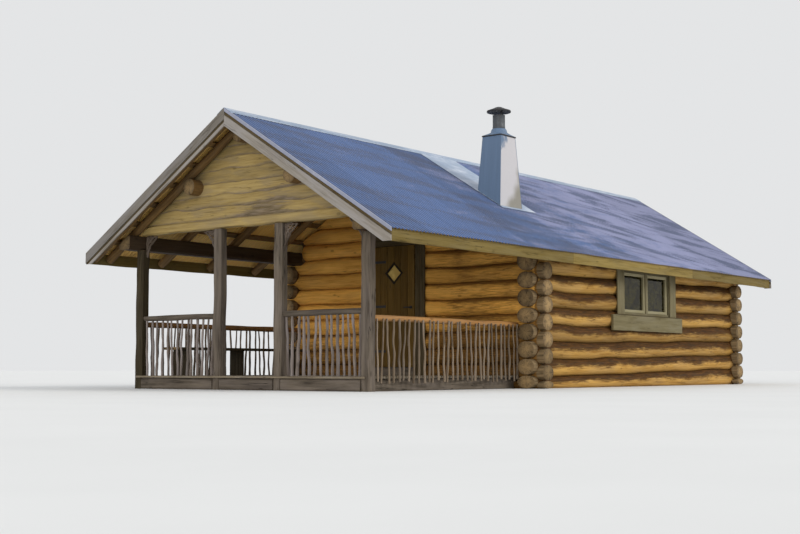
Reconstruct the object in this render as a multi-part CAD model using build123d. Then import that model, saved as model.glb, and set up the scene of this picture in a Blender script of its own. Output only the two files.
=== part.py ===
from build123d import *
from math import cos, radians, sin, sqrt, tan
import os

# Log cabin with an open front porch under one long gable roof.
# Millimetres. X runs along the ridge from the porch gable (-X) to the rear gable (+X),
# -Y is the near long side with the window, Z is up from the ground line.
# The origin lies on the ground line under the middle of the roof.

# Clearances
seat_gap = 0.3          # between pieces that rest against each other
swing_gap = 6.0         # around the door leaf

# Log walls
log_pitch = 267.0       # height of one course
log_radius = 150.0
side_courses = 8
log_end = 250.0         # how far a log runs past the centre of the wall that it crosses
cabin_length = 7200.0   # front wall centre to rear wall centre
cabin_width = 5000.0    # side wall centre to side wall centre

# Roof
roof_angle = 32.2       # degrees
front_overhang = 500.0  # from the line of the porch posts
rear_overhang = 950.0   # from the centre of the rear wall
eave_overhang = 550.0   # from the centre of the side wall
sheet_depth = 18.0
batten_depth = 45.0
batten_width = 95.0
batten_spacing = 500.0
batten_from_ridge = 130.0
rafter_diameter = 140.0
rafter_spacing = 1080.0
purlin_diameter = 240.0
purlin_offset = 1020.0  # from the ridge line
ridge_purlin_diameter = 200.0
purlin_nose = 220.0     # beyond the porch post line
plate_width = 260.0
plate_height = 162.0    # at its centre line, over the wall
plate_inset = 130.0     # plate centre, inward from the wall centre
plate_nose = 300.0      # beyond the porch post line
board_thickness = 25.0
barge_depth = 225.0
barge_strip_depth = 50.0
barge_strip_gap = 22.0
fascia_depth = 175.0
fascia_setback = 30.0   # from the edge of the roof sheets
ridge_cap_wing = 170.0
flashing_thickness = 4.0

# Porch
porch_depth = 3770.0    # post line to front wall centre
post_size = 160.0
post_inset = 228.0      # outer post centre, inward from the side wall centre
entry_spacing = 1220.0  # between the centres of the two middle posts
entry_offset = -55.0    # middle of the entry from the middle of the porch front
tie_lift = 224.0        # tie beam above the top of the wall
tie_height = 140.0
tie_thickness = 140.0
gable_board_thickness = 40.0
deck_top = 200.0
deck_thickness = 30.0
deck_lip = 110.0        # in front of the post line
deck_side_inset = 210.0 # deck edge, inward from the side wall centre
joist_width = 100.0
joist_count = 5
joist_inset = 105.0     # outer joist centre, inward from the corner post centre
rail_diameter = 90.0
front_rail_top = 1120.0
side_rail_top = 1030.0
stick_diameter = 34.0
stick_embed = 8.0
front_stick_count = 12
side_stick_count = 30
side_stick_bottom = 100.0
stick_lean = 18.0       # sideways drift of a stick from foot to head
bracket_width = 270.0
bracket_height = 350.0
bracket_thickness = 60.0
bench_top = 640.0
bench_depth = 380.0
bench_plank = 40.0
bench_start = 350.0     # behind the post line
bench_end_gap = 390.0   # in front of the front wall
bench_leg_inset = 190.0
bench_leg_count = 3

# Floor of the room
floor_top = 330.0
floor_thickness = 60.0
sleeper_width = 110.0
sleeper_count = 6

# Door in the front wall
door_width = 860.0
door_height = 2020.0
door_thickness = 45.0
door_y = 150.0          # door centre, toward the far side of the middle
jamb_thickness = 45.0
door_casing_width = 200.0
diamond_diagonal = 310.0
diamond_height = 1570.0 # centre of the diamond pane above the floor
pane_thickness = 6.0
handle_height = 990.0   # above the floor
handle_edge = 70.0      # from the free edge of the leaf
lever_length = 125.0
lever_diameter = 18.0
neck_diameter = 24.0
rose_diameter = 52.0
rose_thickness = 10.0
lever_reach = 50.0
pin_radius = 5.0
pin_clearance = 0.4
eye_radius = 11.0
eye_height = 40.0
strap_length = 260.0
strap_thickness = 4.0
hinge_rise = 260.0      # from the bottom and top edge of the leaf
pintle_reach = 60.0

# Windows in the two long walls
window_from_front = 3480.0  # centre of the window behind the centre of the front wall
window_width = 1730.0
window_height = 770.0
window_sill = 1230.0
window_member = 90.0    # width of the frame around the panes
window_mullion = 170.0
window_frame_depth = 120.0
window_casing_width = 240.0
window_casing_lap = 10.0
apron_height = 280.0
apron_ear = 200.0       # past the casing on each side

# Chimney
stack_behind_wall = 530.0  # stack centre behind the centre of the front wall
stack_offset = 1515.0      # from the ridge toward the near eave
stack_top_length = 430.0    # along the ridge
stack_top_width = 365.0
stack_base_length = 630.0   # at the level of the roof on the stack centre
stack_base_width = 455.0
stack_height = 76.0        # above the ridge
stack_wall = 12.0
rim_height = 22.0
rim_overlap = 12.0
collar_height = 120.0
flue_diameter = 210.0
flue_height = 350.0
flue_wall = 6.0
cap_diameter = 400.0
cap_height = 95.0
cap_plate = 30.0
cap_gap = 50.0
cap_strap_width = 24.0
cap_strap_thickness = 4.0
saddle_start = 195.0       # flashing front edge behind the centre of the front wall
saddle_length = 1010.0
saddle_reach = 1800.0      # flashing lower edge from the ridge

# Worked out from the sizes above
slope = tan(radians(roof_angle))
stretch = 1.0 / cos(radians(roof_angle))
roof_length = front_overhang + porch_depth + cabin_length + rear_overhang
roof_front = -roof_length / 2
roof_rear = roof_length / 2
post_x = roof_front + front_overhang
front_wall_x = post_x + porch_depth
rear_wall_x = front_wall_x + cabin_length
wall_y = cabin_width / 2
eave_y = wall_y + eave_overhang
post_y = wall_y - post_inset
plate_y = wall_y - plate_inset
wall_top = side_courses * log_pitch
rafter_level = sheet_depth + batten_depth + rafter_diameter
ridge_z = wall_top + plate_height + slope * plate_y + rafter_level * stretch
half_pitch = log_pitch / 2
front_face_x = front_wall_x - log_radius
tie_bottom = wall_top + tie_lift
verge_in = board_thickness + seat_gap
purlin_rear = roof_rear - verge_in - rafter_diameter - seat_gap
rafter_end = eave_y - fascia_setback - verge_in
fascia_y = eave_y - fascia_setback


def block(x0, x1, y0, y1, z0, z1):
    """A box between two values on each axis."""
    return Pos((x0 + x1) / 2, (y0 + y1) / 2, (z0 + z1) / 2) * Box(x1 - x0, abs(y1 - y0), z1 - z0)


def roof_height(y, depth=0.0):
    """Height of the plane that lies a given depth under the top of the roof sheets."""
    return ridge_z - slope * abs(y) - depth * stretch


fascia_top = sheet_depth + seat_gap
fascia_bottom = roof_height(fascia_y, fascia_top) - fascia_depth


def prism_x(points, x0, x1):
    """A solid with a cross-section of (y, z) points, from x0 to x1."""
    face = make_face(Polyline(*[(x0, y, z) for y, z in points], close=True))
    return extrude(face, amount=x1 - x0, dir=(1, 0, 0))


def under_roof(depth, x0, x1):
    """Everything under the plane at this depth, down to below the ground."""
    reach = 2 * eave_y
    low = -log_pitch
    top = roof_height(0, depth)
    edge = roof_height(reach, depth)
    return prism_x([(-reach, low), (reach, low), (reach, edge), (0, top), (-reach, edge)], x0, x1)


def slope_strip(side, from_ridge, to_ridge, upper, lower, x0, x1):
    """A flat strip in one roof slope, from two plan distances and two depths under the sheets."""
    drop = (lower - upper) * sin(radians(roof_angle))
    near_ridge = roof_height(from_ridge, upper)
    near_eave = roof_height(to_ridge, upper)
    fall = (lower - upper) * cos(radians(roof_angle))
    points = [
        (side * from_ridge, near_ridge),
        (side * to_ridge, near_eave),
        (side * (to_ridge - drop), near_eave - fall),
        (side * (from_ridge - drop), near_ridge - fall),
    ]
    return prism_x(points, x0, x1)


def plumb_strip(side, from_ridge, to_ridge, upper, lower, x0, x1):
    """A strip like the one above, with upright ends."""
    points = [
        (side * from_ridge, roof_height(from_ridge, upper)),
        (side * to_ridge, roof_height(to_ridge, upper)),
        (side * to_ridge, roof_height(to_ridge, lower)),
        (side * from_ridge, roof_height(from_ridge, lower)),
    ]
    return prism_x(points, x0, x1)


def log_section(extra):
    """A round log with a flat seat below and above."""
    height = log_pitch - seat_gap + extra
    middle = height / 2 - half_pitch
    return Circle(log_radius + extra) & (Pos(0, middle) * Rectangle(4 * log_radius, height))


def log_along_x(x0, x1, y, z, extra=0.0):
    """A log from x0 to x1 with its centre at y and z."""
    return Pos(x0, y, z) * extrude(Plane.YZ * log_section(extra), amount=x1 - x0)


def log_along_y(y0, y1, x, z, extra=0.0):
    """A log from y0 to y1 with its centre at x and z."""
    body = extrude(Plane.YZ * log_section(extra), amount=y1 - y0)
    return Pos(x, y0, z) * Rot(0, 0, 90) * body


def pole_along_x(x0, x1, y, z, radius):
    """A round pole along X."""
    return Pos((x0 + x1) / 2, y, z) * Rot(0, 90, 0) * Cylinder(radius, x1 - x0)


def pole_along_y(y0, y1, x, z, radius):
    """A round pole along Y."""
    return Pos(x, (y0 + y1) / 2, z) * Rot(90, 0, 0) * Cylinder(radius, y1 - y0)


def rod_between(start, end, radius):
    """A round rod between two points."""
    line = Vector(*end) - Vector(*start)
    return Plane(origin=start, z_dir=line) * Cylinder(
        radius, line.length, align=(Align.CENTER, Align.CENTER, Align.MIN)
    )


def side_course_z(course):
    """Centre height of a course in the long walls."""
    return half_pitch + course * log_pitch


def cross_course_z(course):
    """Centre height of a course in the front and rear walls, half a course lower."""
    return course * log_pitch


# Openings that are cut through the log walls
window_x = front_wall_x + window_from_front
window_x0 = window_x - window_width / 2
window_x1 = window_x + window_width / 2
window_top = window_sill + window_height

door_hole_half = door_width / 2 + swing_gap + jamb_thickness + seat_gap
door_bottom = floor_top + swing_gap
door_top = door_bottom + door_height
head_bottom = door_top + swing_gap
head_top = head_bottom + jamb_thickness
lintel_bottom = head_top + seat_gap
sill_bottom = half_pitch
door_y0 = door_y - door_hole_half
door_y1 = door_y + door_hole_half


def plates(side, extra=0.0):
    """The plate log on one long wall, hewn to the slope on top, running on over the porch."""
    inner = plate_y - plate_width / 2 - extra
    outer = plate_y + plate_width / 2 + extra
    low = wall_top + seat_gap - extra
    points = [
        (side * inner, low),
        (side * outer, low),
        (side * outer, roof_height(outer, rafter_level) - seat_gap),
        (side * inner, roof_height(inner, rafter_level) - seat_gap),
    ]
    return prism_x(points, post_x - plate_nose - extra, purlin_rear)


def purlin(side, extra=0.0):
    """A round purlin under the rafters, running on over the porch."""
    radius = purlin_diameter / 2 + extra
    z = roof_height(purlin_offset, rafter_level) - purlin_diameter / 2 * stretch - seat_gap
    return pole_along_x(post_x - purlin_nose, purlin_rear, side * purlin_offset, z, radius)


def ridge_purlin(extra=0.0):
    """The round purlin under the ridge."""
    radius = ridge_purlin_diameter / 2 + extra
    z = roof_height(0, rafter_level) - ridge_purlin_diameter / 2 * stretch - seat_gap
    return pole_along_x(post_x - purlin_nose, purlin_rear, 0, z, radius)


long_timbers = [plates(-1, seat_gap), plates(1, seat_gap), purlin(-1, seat_gap)]
long_timbers += [purlin(1, seat_gap), ridge_purlin(seat_gap)]


def side_wall(side):
    """One long wall: eight courses, notched over the cross walls, with the window cut out."""
    y = side * wall_y
    window_hole = block(
        window_x0, window_x1, y - 2 * log_radius, y + 2 * log_radius, window_sill, window_top
    )
    logs = []
    for course in range(side_courses):
        z = side_course_z(course)
        log = log_along_x(front_wall_x - log_end, rear_wall_x + log_end, y, z)
        for wall_x in (front_wall_x, rear_wall_x):
            below = log_along_y(-wall_y - log_end, wall_y + log_end, wall_x, cross_course_z(course), seat_gap)
            log = log - below
        if z + half_pitch > window_sill and z - half_pitch < window_top:
            log = log - window_hole
        logs += log.solids()
    return logs


def cross_log(wall_x, course):
    """One log of a cross wall, notched over the two long walls."""
    z = cross_course_z(course)
    log = log_along_y(-wall_y - log_end, wall_y + log_end, wall_x, z)
    if course == 0:
        reach = 2 * wall_y
        return log & block(wall_x - reach, wall_x + reach, -reach, reach, 0, log_pitch)
    for side in (-1, 1):
        below = log_along_x(
            front_wall_x - 2 * log_end, rear_wall_x + 2 * log_end, side * wall_y,
            side_course_z(course - 1), seat_gap,
        )
        log = log - below
    return log


def gable_log(wall_x, course):
    """One log of a gable, cut to the slope and around the long timbers.

    The lowest one runs out under the plates and is notched over the top logs of the long walls.
    """
    half = wall_y if course == side_courses else plate_y - plate_width / 2 - seat_gap
    log = log_along_y(-half, half, wall_x, cross_course_z(course))
    if course == side_courses:
        for side in (-1, 1):
            log = log - log_along_x(
                wall_x - 2 * log_end, wall_x + 2 * log_end, side * wall_y, side_course_z(course - 1), seat_gap
            )
    trim = under_roof(sheet_depth + batten_depth + seat_gap, wall_x - log_end, wall_x + log_end)
    log = log & trim
    for timber in long_timbers:
        log = log - timber
    return log


gable_courses = []
next_course = side_courses
while cross_course_z(next_course) - half_pitch < roof_height(0, sheet_depth + batten_depth) - seat_gap:
    gable_courses.append(next_course)
    next_course += 1


def split_at_door(shape):
    """Solids of a front wall log that are left beside the doorway: near side, far side."""
    hole = block(front_wall_x - log_end, front_wall_x + log_end, door_y0, door_y1, sill_bottom, 2 * wall_top)
    near = []
    far = []
    for piece in (shape - hole).solids():
        if piece.center().Y < door_y:
            near.append(piece)
        else:
            far.append(piece)
    return near, far


def front_wall():
    """Front wall logs: sill, beside the doorway on both sides, and over it."""
    sill = cross_log(front_wall_x, 0).solids()
    near = []
    far = []
    over = []
    for course in range(1, side_courses):
        near_part, far_part = split_at_door(cross_log(front_wall_x, course))
        near += near_part
        far += far_part
    for course in gable_courses:
        log = gable_log(front_wall_x, course)
        if cross_course_z(course) - half_pitch < lintel_bottom:
            near_part, far_part = split_at_door(log)
            near += near_part
            far += far_part
            if cross_course_z(course) + half_pitch > lintel_bottom:
                top = cross_course_z(course) + half_pitch
                over += (log & block(
                    front_wall_x - log_end, front_wall_x + log_end,
                    door_y0 + seat_gap, door_y1 - seat_gap, lintel_bottom, top,
                )).solids()
        else:
            over += log.solids()
    return sill, near, far, over


def rear_wall():
    """Rear wall logs up into the rear gable."""
    logs = []
    for course in range(side_courses):
        logs += cross_log(rear_wall_x, course).solids()
    for course in gable_courses:
        logs += gable_log(rear_wall_x, course).solids()
    return logs


def room_floor():
    """Floor boards of the room as one slab between the log faces."""
    x0 = front_wall_x + log_radius + seat_gap
    x1 = rear_wall_x - log_radius - seat_gap
    half = wall_y - log_radius - seat_gap
    return block(x0, x1, -half, half, floor_top - floor_thickness, floor_top)


def room_sleepers():
    """Squared sleepers on the ground under the floor boards."""
    x0 = front_wall_x + log_radius + seat_gap
    x1 = rear_wall_x - log_radius - seat_gap
    half = wall_y - log_radius - seat_gap
    step = (x1 - x0 - sleeper_width) / (sleeper_count - 1)
    found = []
    for number in range(sleeper_count):
        x = x0 + number * step
        found.append(block(x, x + sleeper_width, -half, half, 0, floor_top - floor_thickness - seat_gap))
    return found


# Roof

def rafter_positions():
    """Centres of the rafter pairs: one behind each bargeboard and a regular row between."""
    found = [roof_front + verge_in + rafter_diameter / 2]
    x = post_x - gable_board_thickness - seat_gap - rafter_diameter / 2
    while x < rear_wall_x - log_radius - rafter_diameter / 2:
        found.append(x)
        x += rafter_spacing
    found.append(roof_rear - verge_in - rafter_diameter / 2)
    return found


def rafters(side):
    """Round poles from the ridge to the back of the fascia, cut plumb at both ends."""
    found = []
    depth = sheet_depth + batten_depth + seat_gap + (rafter_diameter - seat_gap) / 2
    radius = (rafter_diameter - seat_gap) / 2
    over = rafter_diameter
    keep_y = [side * seat_gap / 2, side * rafter_end]
    for x in rafter_positions():
        start = (x, -side * over, roof_height(0, depth) + slope * over)
        end = (x, side * (rafter_end + over), roof_height(rafter_end + over, depth))
        pole = rod_between(start, end, radius)
        keep = block(x - over, x + over, min(keep_y), max(keep_y), 0, 2 * ridge_z)
        found += (pole & keep).solids()
    return found


def battens(side):
    """Flat battens along the roof between the rafters and the sheets."""
    found = []
    position = batten_from_ridge
    last = rafter_end - batten_width
    while position < last:
        found.append(slope_strip(
            side, position, position + batten_width * cos(radians(roof_angle)),
            sheet_depth + seat_gap, sheet_depth + batten_depth,
            roof_front + verge_in, roof_rear - verge_in,
        ))
        position += batten_spacing * cos(radians(roof_angle))
    return found


def roof_sheets(side):
    """Profiled roof sheets of one slope as a slab of their full depth."""
    return plumb_strip(side, seat_gap / 2, eave_y, 0, sheet_depth, roof_front + board_thickness + seat_gap,
                       roof_rear - board_thickness - seat_gap)


def ridge_cap():
    """The folded cap over the ridge."""
    wing = ridge_cap_wing * cos(radians(roof_angle))
    lift = -seat_gap
    top = lift - flashing_thickness
    points = [
        (-wing, roof_height(wing, lift)),
        (0, roof_height(0, lift)),
        (wing, roof_height(wing, lift)),
        (wing, roof_height(wing, top)),
        (0, roof_height(0, top)),
        (-wing, roof_height(wing, top)),
    ]
    return prism_x(points, roof_front, roof_rear)


def bargeboard(outer_x, inward, side, upper, lower):
    """One board that closes the verge of one slope, its foot cut level with the fascia."""
    x0 = min(outer_x, outer_x + inward * board_thickness)
    board = plumb_strip(side, seat_gap / 2, eave_y, upper, lower, x0, x0 + board_thickness)
    over = block(x0, x0 + board_thickness, -eave_y, eave_y, fascia_bottom, ridge_z)
    return board & over


def fascia(side):
    """The board along one eave under the sheets."""
    inner = fascia_y - board_thickness
    points = [
        (side * inner, fascia_bottom),
        (side * fascia_y, fascia_bottom),
        (side * fascia_y, roof_height(fascia_y, fascia_top)),
        (side * inner, roof_height(inner, fascia_top)),
    ]
    return prism_x(points, roof_front + verge_in, roof_rear - verge_in)


# Porch

post_places = [-post_y, entry_offset - entry_spacing / 2, entry_offset + entry_spacing / 2, post_y]
half_post = post_size / 2


def post(number):
    """A square post from the ground to the plate, or to the tie beam in the middle."""
    y = post_places[number]
    outer = number in (0, 3)
    top = wall_top if outer else tie_bottom - seat_gap
    return block(post_x - half_post, post_x + half_post, y - half_post, y + half_post, 0, top)


def tie_beam():
    """The beam across the porch front, its ends cut under the rafters."""
    half = plate_y - plate_width / 2 - seat_gap
    beam = block(
        post_x - tie_thickness / 2, post_x + tie_thickness / 2, -half, half,
        tie_bottom, tie_bottom + tie_height,
    )
    return beam & under_roof(rafter_level + seat_gap, post_x - tie_thickness, post_x + tie_thickness)


def porch_gable():
    """Boards of the porch gable, standing on the tie beam."""
    half = plate_y
    boards = block(
        post_x - gable_board_thickness, post_x, -half, half,
        tie_bottom + tie_height + seat_gap, ridge_z,
    )
    boards = boards & under_roof(
        sheet_depth + batten_depth + seat_gap, post_x - tie_thickness, post_x + tie_thickness
    )
    for timber in long_timbers:
        boards = boards - timber
    return boards.solids()


def porch_deck():
    """Deck boards as one slab, notched around the posts."""
    half = wall_y - deck_side_inset
    slab = block(
        post_x - deck_lip, front_face_x - seat_gap, -half, half, deck_top - deck_thickness, deck_top
    )
    for y in post_places:
        reach = half_post + seat_gap
        slab = slab - block(post_x - reach, post_x + reach, y - reach, y + reach, 0, 2 * deck_top)
    return slab


def porch_joists():
    """Beams on the ground under the deck, from the posts to the front wall."""
    outer = post_y - joist_inset
    step = 2 * outer / (joist_count - 1)
    found = []
    for number in range(joist_count):
        y = -outer + number * step
        found.append(block(
            post_x + half_post + seat_gap, front_face_x - seat_gap,
            y - joist_width / 2, y + joist_width / 2, 0, deck_top - deck_thickness - seat_gap,
        ))
    return found


def porch_edge_beams():
    """Beams between the posts under the front edge of the deck."""
    found = []
    for left, right in zip(post_places[:-1], post_places[1:]):
        found.append(block(
            post_x - half_post, post_x + half_post,
            left + half_post + seat_gap, right - half_post - seat_gap,
            0, deck_top - deck_thickness - seat_gap,
        ))
    return found


def front_railing(left, right):
    """A pole between two posts with upright sticks that stand on the deck."""
    y0 = left + half_post + seat_gap
    y1 = right - half_post - seat_gap
    z = front_rail_top - rail_diameter / 2
    panel = pole_along_y(y0, y1, post_x, z, rail_diameter / 2)
    step = (y1 - y0) / front_stick_count
    sticks = []
    for number in range(front_stick_count):
        y = y0 + (number + 0.5) * step
        lean = stick_lean * (1 if number % 2 else -1) / 2
        sticks.append(rod_between(
            (post_x, y - lean, deck_top + 2 * seat_gap), (post_x, y + lean, z), stick_diameter / 2
        ))
    return panel + sticks


def side_railing(side):
    """A pole from the corner post to the front wall with sticks on its outer face."""
    x0 = post_x + half_post + seat_gap
    x1 = front_face_x - seat_gap
    z = side_rail_top - rail_diameter / 2
    y = side * post_y
    panel = pole_along_x(x0, x1, y, z, rail_diameter / 2)
    out = side * (post_y + rail_diameter / 2 + stick_diameter / 2 - stick_embed)
    step = (x1 - x0) / side_stick_count
    sticks = []
    for number in range(side_stick_count):
        x = x0 + (number + 0.5) * step
        lean = stick_lean * (1 if number % 3 else -1) / 2
        sticks.append(rod_between(
            (x - lean, out, side_stick_bottom), (x + lean, out, side_rail_top), stick_diameter / 2
        ))
    return panel + sticks


def bracket(post_number, direction):
    """A three-cornered branch bracket between a post and the timber over it."""
    face = post_places[post_number] + direction * (half_post + seat_gap)
    top = tie_bottom - seat_gap
    tip = face + direction * bracket_width
    points = [
        (post_x, face, top),
        (post_x, tip, top),
        (post_x, face, top - bracket_height),
    ]
    outline = make_face(Polyline(*points, close=True))
    return extrude(outline, amount=bracket_thickness / 2, dir=(1, 0, 0), both=True)


def porch_bench():
    """A plank seat along the far railing on three board legs."""
    y1 = post_y - half_post
    y0 = y1 - bench_depth
    x0 = post_x + bench_start
    x1 = front_face_x - bench_end_gap
    found = [block(x0, x1, y0, y1, bench_top - bench_plank, bench_top)]
    step = (x1 - x0 - bench_plank - 2 * bench_leg_inset) / (bench_leg_count - 1)
    for number in range(bench_leg_count):
        x = x0 + bench_leg_inset + number * step
        found.append(block(
            x, x + bench_plank, y0 + bench_plank, y1 - bench_plank,
            deck_top + seat_gap, bench_top - bench_plank - seat_gap,
        ))
    return found


# Door, seen in its closed place. The hinge line stands in front of the leaf on the far side.

leaf_y1 = door_y + door_width / 2
leaf_y0 = door_y - door_width / 2
casing_front = front_face_x - board_thickness - seat_gap
hinge_x = casing_front + strap_thickness
hinge_y = leaf_y1 + swing_gap
leaf_x0 = hinge_x + eye_radius + seat_gap
leaf_x1 = leaf_x0 + door_thickness
hinge_heights = [door_bottom + hinge_rise, (door_bottom + door_top) / 2, door_top - hinge_rise]


def door_frame():
    """Two jambs and a head that line the doorway."""
    outer = door_hole_half - seat_gap
    inner = outer - jamb_thickness
    x0 = front_face_x
    x1 = front_wall_x + log_radius
    frame = block(x0, x1, door_y - outer, door_y + outer, floor_top, head_top)
    return frame - block(x0 - 1, x1 + 1, door_y - inner, door_y + inner, 0, head_bottom)


def door_sill():
    """The hewn sill between the logs under the door."""
    outer = door_hole_half - seat_gap
    return block(
        front_wall_x - log_radius, front_wall_x + log_radius, door_y - outer, door_y + outer,
        sill_bottom, floor_top - seat_gap,
    )


def door_casing():
    """Boards around the doorway on the face of the logs."""
    inner = door_width / 2 + swing_gap + eye_radius + swing_gap
    outer = inner + door_casing_width
    x0 = casing_front
    x1 = front_face_x - seat_gap
    top = head_bottom + door_casing_width
    boards = block(x0, x1, door_y - outer, door_y + outer, deck_top + seat_gap, top)
    return boards - block(x0 - 1, x1 + 1, door_y - inner, door_y + inner, 0, head_bottom)


def diamond(x0, x1, diagonal):
    """A square prism standing on its corner."""
    side = diagonal * cos(radians(45))
    z = floor_top + diamond_height
    return Pos((x0 + x1) / 2, door_y, z) * Rot(45, 0, 0) * Box(x1 - x0, side, side)


def door_leaf():
    """The boarded leaf with its diamond opening."""
    leaf = block(leaf_x0, leaf_x1, leaf_y0, leaf_y1, door_bottom, door_top)
    return leaf - diamond(leaf_x0 - 1, leaf_x1 + 1, diamond_diagonal)


def door_pane():
    """Glass in the diamond opening."""
    middle = (leaf_x0 + leaf_x1) / 2
    return diamond(middle - pane_thickness / 2, middle + pane_thickness / 2, diamond_diagonal - 2 * seat_gap)


def door_handle():
    """A lever on a round rose, outside and inside."""
    y = leaf_y0 + handle_edge
    z = floor_top + handle_height
    found = []
    for face, away in ((leaf_x0, -1), (leaf_x1, 1)):
        base = face + away * seat_gap
        end = base + away * lever_reach
        rose = pole_along_x(min(base, base + away * rose_thickness), max(base, base + away * rose_thickness),
                            y, z, rose_diameter / 2)
        axis_x = end - away * lever_diameter / 2
        neck = pole_along_x(min(base, axis_x), max(base, axis_x), y, z, neck_diameter / 2)
        grip = pole_along_y(y - neck_diameter, y + lever_length, axis_x, z, lever_diameter / 2)
        found += (rose + neck + grip).solids()
    return found


def hinge_straps():
    """Iron straps on the leaf, each with an eye around the hinge pin."""
    found = []
    for z in hinge_heights:
        eye = Pos(hinge_x, hinge_y, z) * Cylinder(eye_radius, eye_height)
        strap = block(
            leaf_x0 - seat_gap - strap_thickness, leaf_x0 - seat_gap, hinge_y - strap_length, hinge_y,
            z - eye_height / 2, z + eye_height / 2,
        )
        hole = Pos(hinge_x, hinge_y, z) * Cylinder(pin_radius + pin_clearance, 2 * eye_height)
        found += (eye + strap - hole).solids()
    return found


def hinge_pintles():
    """Pins on the casing that carry the eyes of the straps."""
    found = []
    for z in hinge_heights:
        low = z - eye_height / 2 - seat_gap
        pin = Pos(hinge_x, hinge_y, 0) * Cylinder(
            pin_radius, eye_height, align=(Align.CENTER, Align.CENTER, Align.MIN)
        )
        foot = block(
            casing_front - seat_gap - strap_thickness, hinge_x + pin_radius, hinge_y - pin_radius,
            hinge_y + eye_radius, low - strap_thickness, low,
        )
        arm = block(
            casing_front - seat_gap - strap_thickness, casing_front - seat_gap, hinge_y,
            hinge_y + pintle_reach, low - eye_height, low,
        )
        found += (Pos(0, 0, low) * pin + foot + arm).solids()
    return found


# Windows

def window_frame(side):
    """Frame and middle post of a two-light window."""
    outer_y = wall_y + log_radius
    inner_y = outer_y - window_frame_depth
    ys = sorted([side * inner_y, side * outer_y])
    frame = block(
        window_x0 + seat_gap, window_x1 - seat_gap, ys[0], ys[1],
        window_sill + seat_gap, window_top - seat_gap,
    )
    for x0, x1 in light_places():
        hole = block(
            x0, x1, ys[0] - 1, ys[1] + 1, window_sill + window_member, window_top - window_member
        )
        frame = frame - hole
    return frame


def light_places():
    """Left and right edge of each of the two panes."""
    return [
        (window_x0 + window_member, window_x - window_mullion / 2),
        (window_x + window_mullion / 2, window_x1 - window_member),
    ]


def window_panes(side):
    """Two panes in the middle of the frame."""
    middle = side * (wall_y + log_radius - window_frame_depth / 2)
    found = []
    for x0, x1 in light_places():
        found.append(block(
            x0 + seat_gap, x1 - seat_gap, middle - pane_thickness / 2, middle + pane_thickness / 2,
            window_sill + window_member + seat_gap, window_top - window_member - seat_gap,
        ))
    return found


def window_casing(side):
    """Boards beside and over the window on the face of the logs."""
    ys = sorted([
        side * (wall_y + log_radius + seat_gap),
        side * (wall_y + log_radius + seat_gap + board_thickness),
    ])
    inner_x0 = window_x0 + window_casing_lap
    inner_x1 = window_x1 - window_casing_lap
    low = window_sill
    top = window_top + board_thickness
    boards = block(inner_x0 - window_casing_width, inner_x1 + window_casing_width, ys[0], ys[1], low, top)
    hole = block(inner_x0, inner_x1, ys[0] - 1, ys[1] + 1, window_sill + window_casing_lap,
                 window_top - window_casing_lap)
    return boards - hole


def window_apron(side):
    """The wide board under the window."""
    ys = sorted([
        side * (wall_y + log_radius + seat_gap),
        side * (wall_y + log_radius + seat_gap + 2 * board_thickness),
    ])
    reach = window_width / 2 - window_casing_lap + window_casing_width + apron_ear
    return block(
        window_x - reach, window_x + reach, ys[0], ys[1],
        window_sill - seat_gap - apron_height, window_sill - seat_gap,
    )


# Chimney

stack_x = front_wall_x + stack_behind_wall
stack_y = -stack_offset
stack_top = ridge_z + stack_height


def over_roof(lift, x0, x1, y0, y1):
    """The space over the near slope, from a height over the sheets."""
    top = 2 * ridge_z
    points = [(y0, roof_height(y0, -lift)), (y1, roof_height(y1, -lift)), (y1, top), (y0, top)]
    return prism_x(points, x0, x1)


def chimney_stack():
    """The tapered sheet casing, open below where it stands on the flashing."""
    low = roof_height(stack_offset + stack_base_width)
    reach = (stack_top - low) / (stack_top - roof_height(stack_offset))
    foot_length = stack_top_length + reach * (stack_base_length - stack_top_length)
    foot_width = stack_top_width + reach * (stack_base_width - stack_top_width)
    outer = taper_box(foot_length, foot_width, stack_top_length, stack_top_width, low, stack_top)
    inner = taper_box(
        foot_length - 2 * stack_wall, foot_width - 2 * stack_wall,
        stack_top_length - 2 * stack_wall, stack_top_width - 2 * stack_wall, low - 1, stack_top - stack_wall,
    )
    keep = over_roof(
        flashing_thickness + 2 * seat_gap, stack_x - foot_length, stack_x + foot_length,
        stack_y - foot_width, min(stack_y + foot_width, 0),
    )
    return (outer - inner) & keep


def taper_box(foot_length, foot_width, top_length, top_width, low, top):
    """A frustum with four sides around the chimney line."""
    foot = Plane(origin=(stack_x, stack_y, low)) * Rectangle(foot_length, foot_width)
    head = Plane(origin=(stack_x, stack_y, top)) * Rectangle(top_length, top_width)
    return loft([foot, head])


def chimney_rim():
    """The dark rim on the stack with a sloped collar around the flue."""
    half_length = stack_top_length / 2 + rim_overlap
    half_width = stack_top_width / 2 + rim_overlap
    low = stack_top + seat_gap
    rim = block(
        stack_x - half_length, stack_x + half_length, stack_y - half_width, stack_y + half_width,
        low, low + rim_height,
    )
    hole = Pos(stack_x, stack_y, low) * Cylinder(flue_diameter / 2 + seat_gap, 2 * rim_height)
    return rim - hole


def chimney_collar():
    """The sloped sheet collar between the rim and the flue."""
    low = stack_top + rim_height + 2 * seat_gap
    foot = Plane(origin=(stack_x, stack_y, low)) * Rectangle(stack_top_length, stack_top_width)
    head = Plane(origin=(stack_x, stack_y, low + collar_height)) * Rectangle(
        flue_diameter + 2 * rim_height, flue_diameter + 2 * rim_height
    )
    hole = Pos(stack_x, stack_y, low) * Cylinder(flue_diameter / 2 + seat_gap, 4 * collar_height)
    return loft([foot, head]) - hole


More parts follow.
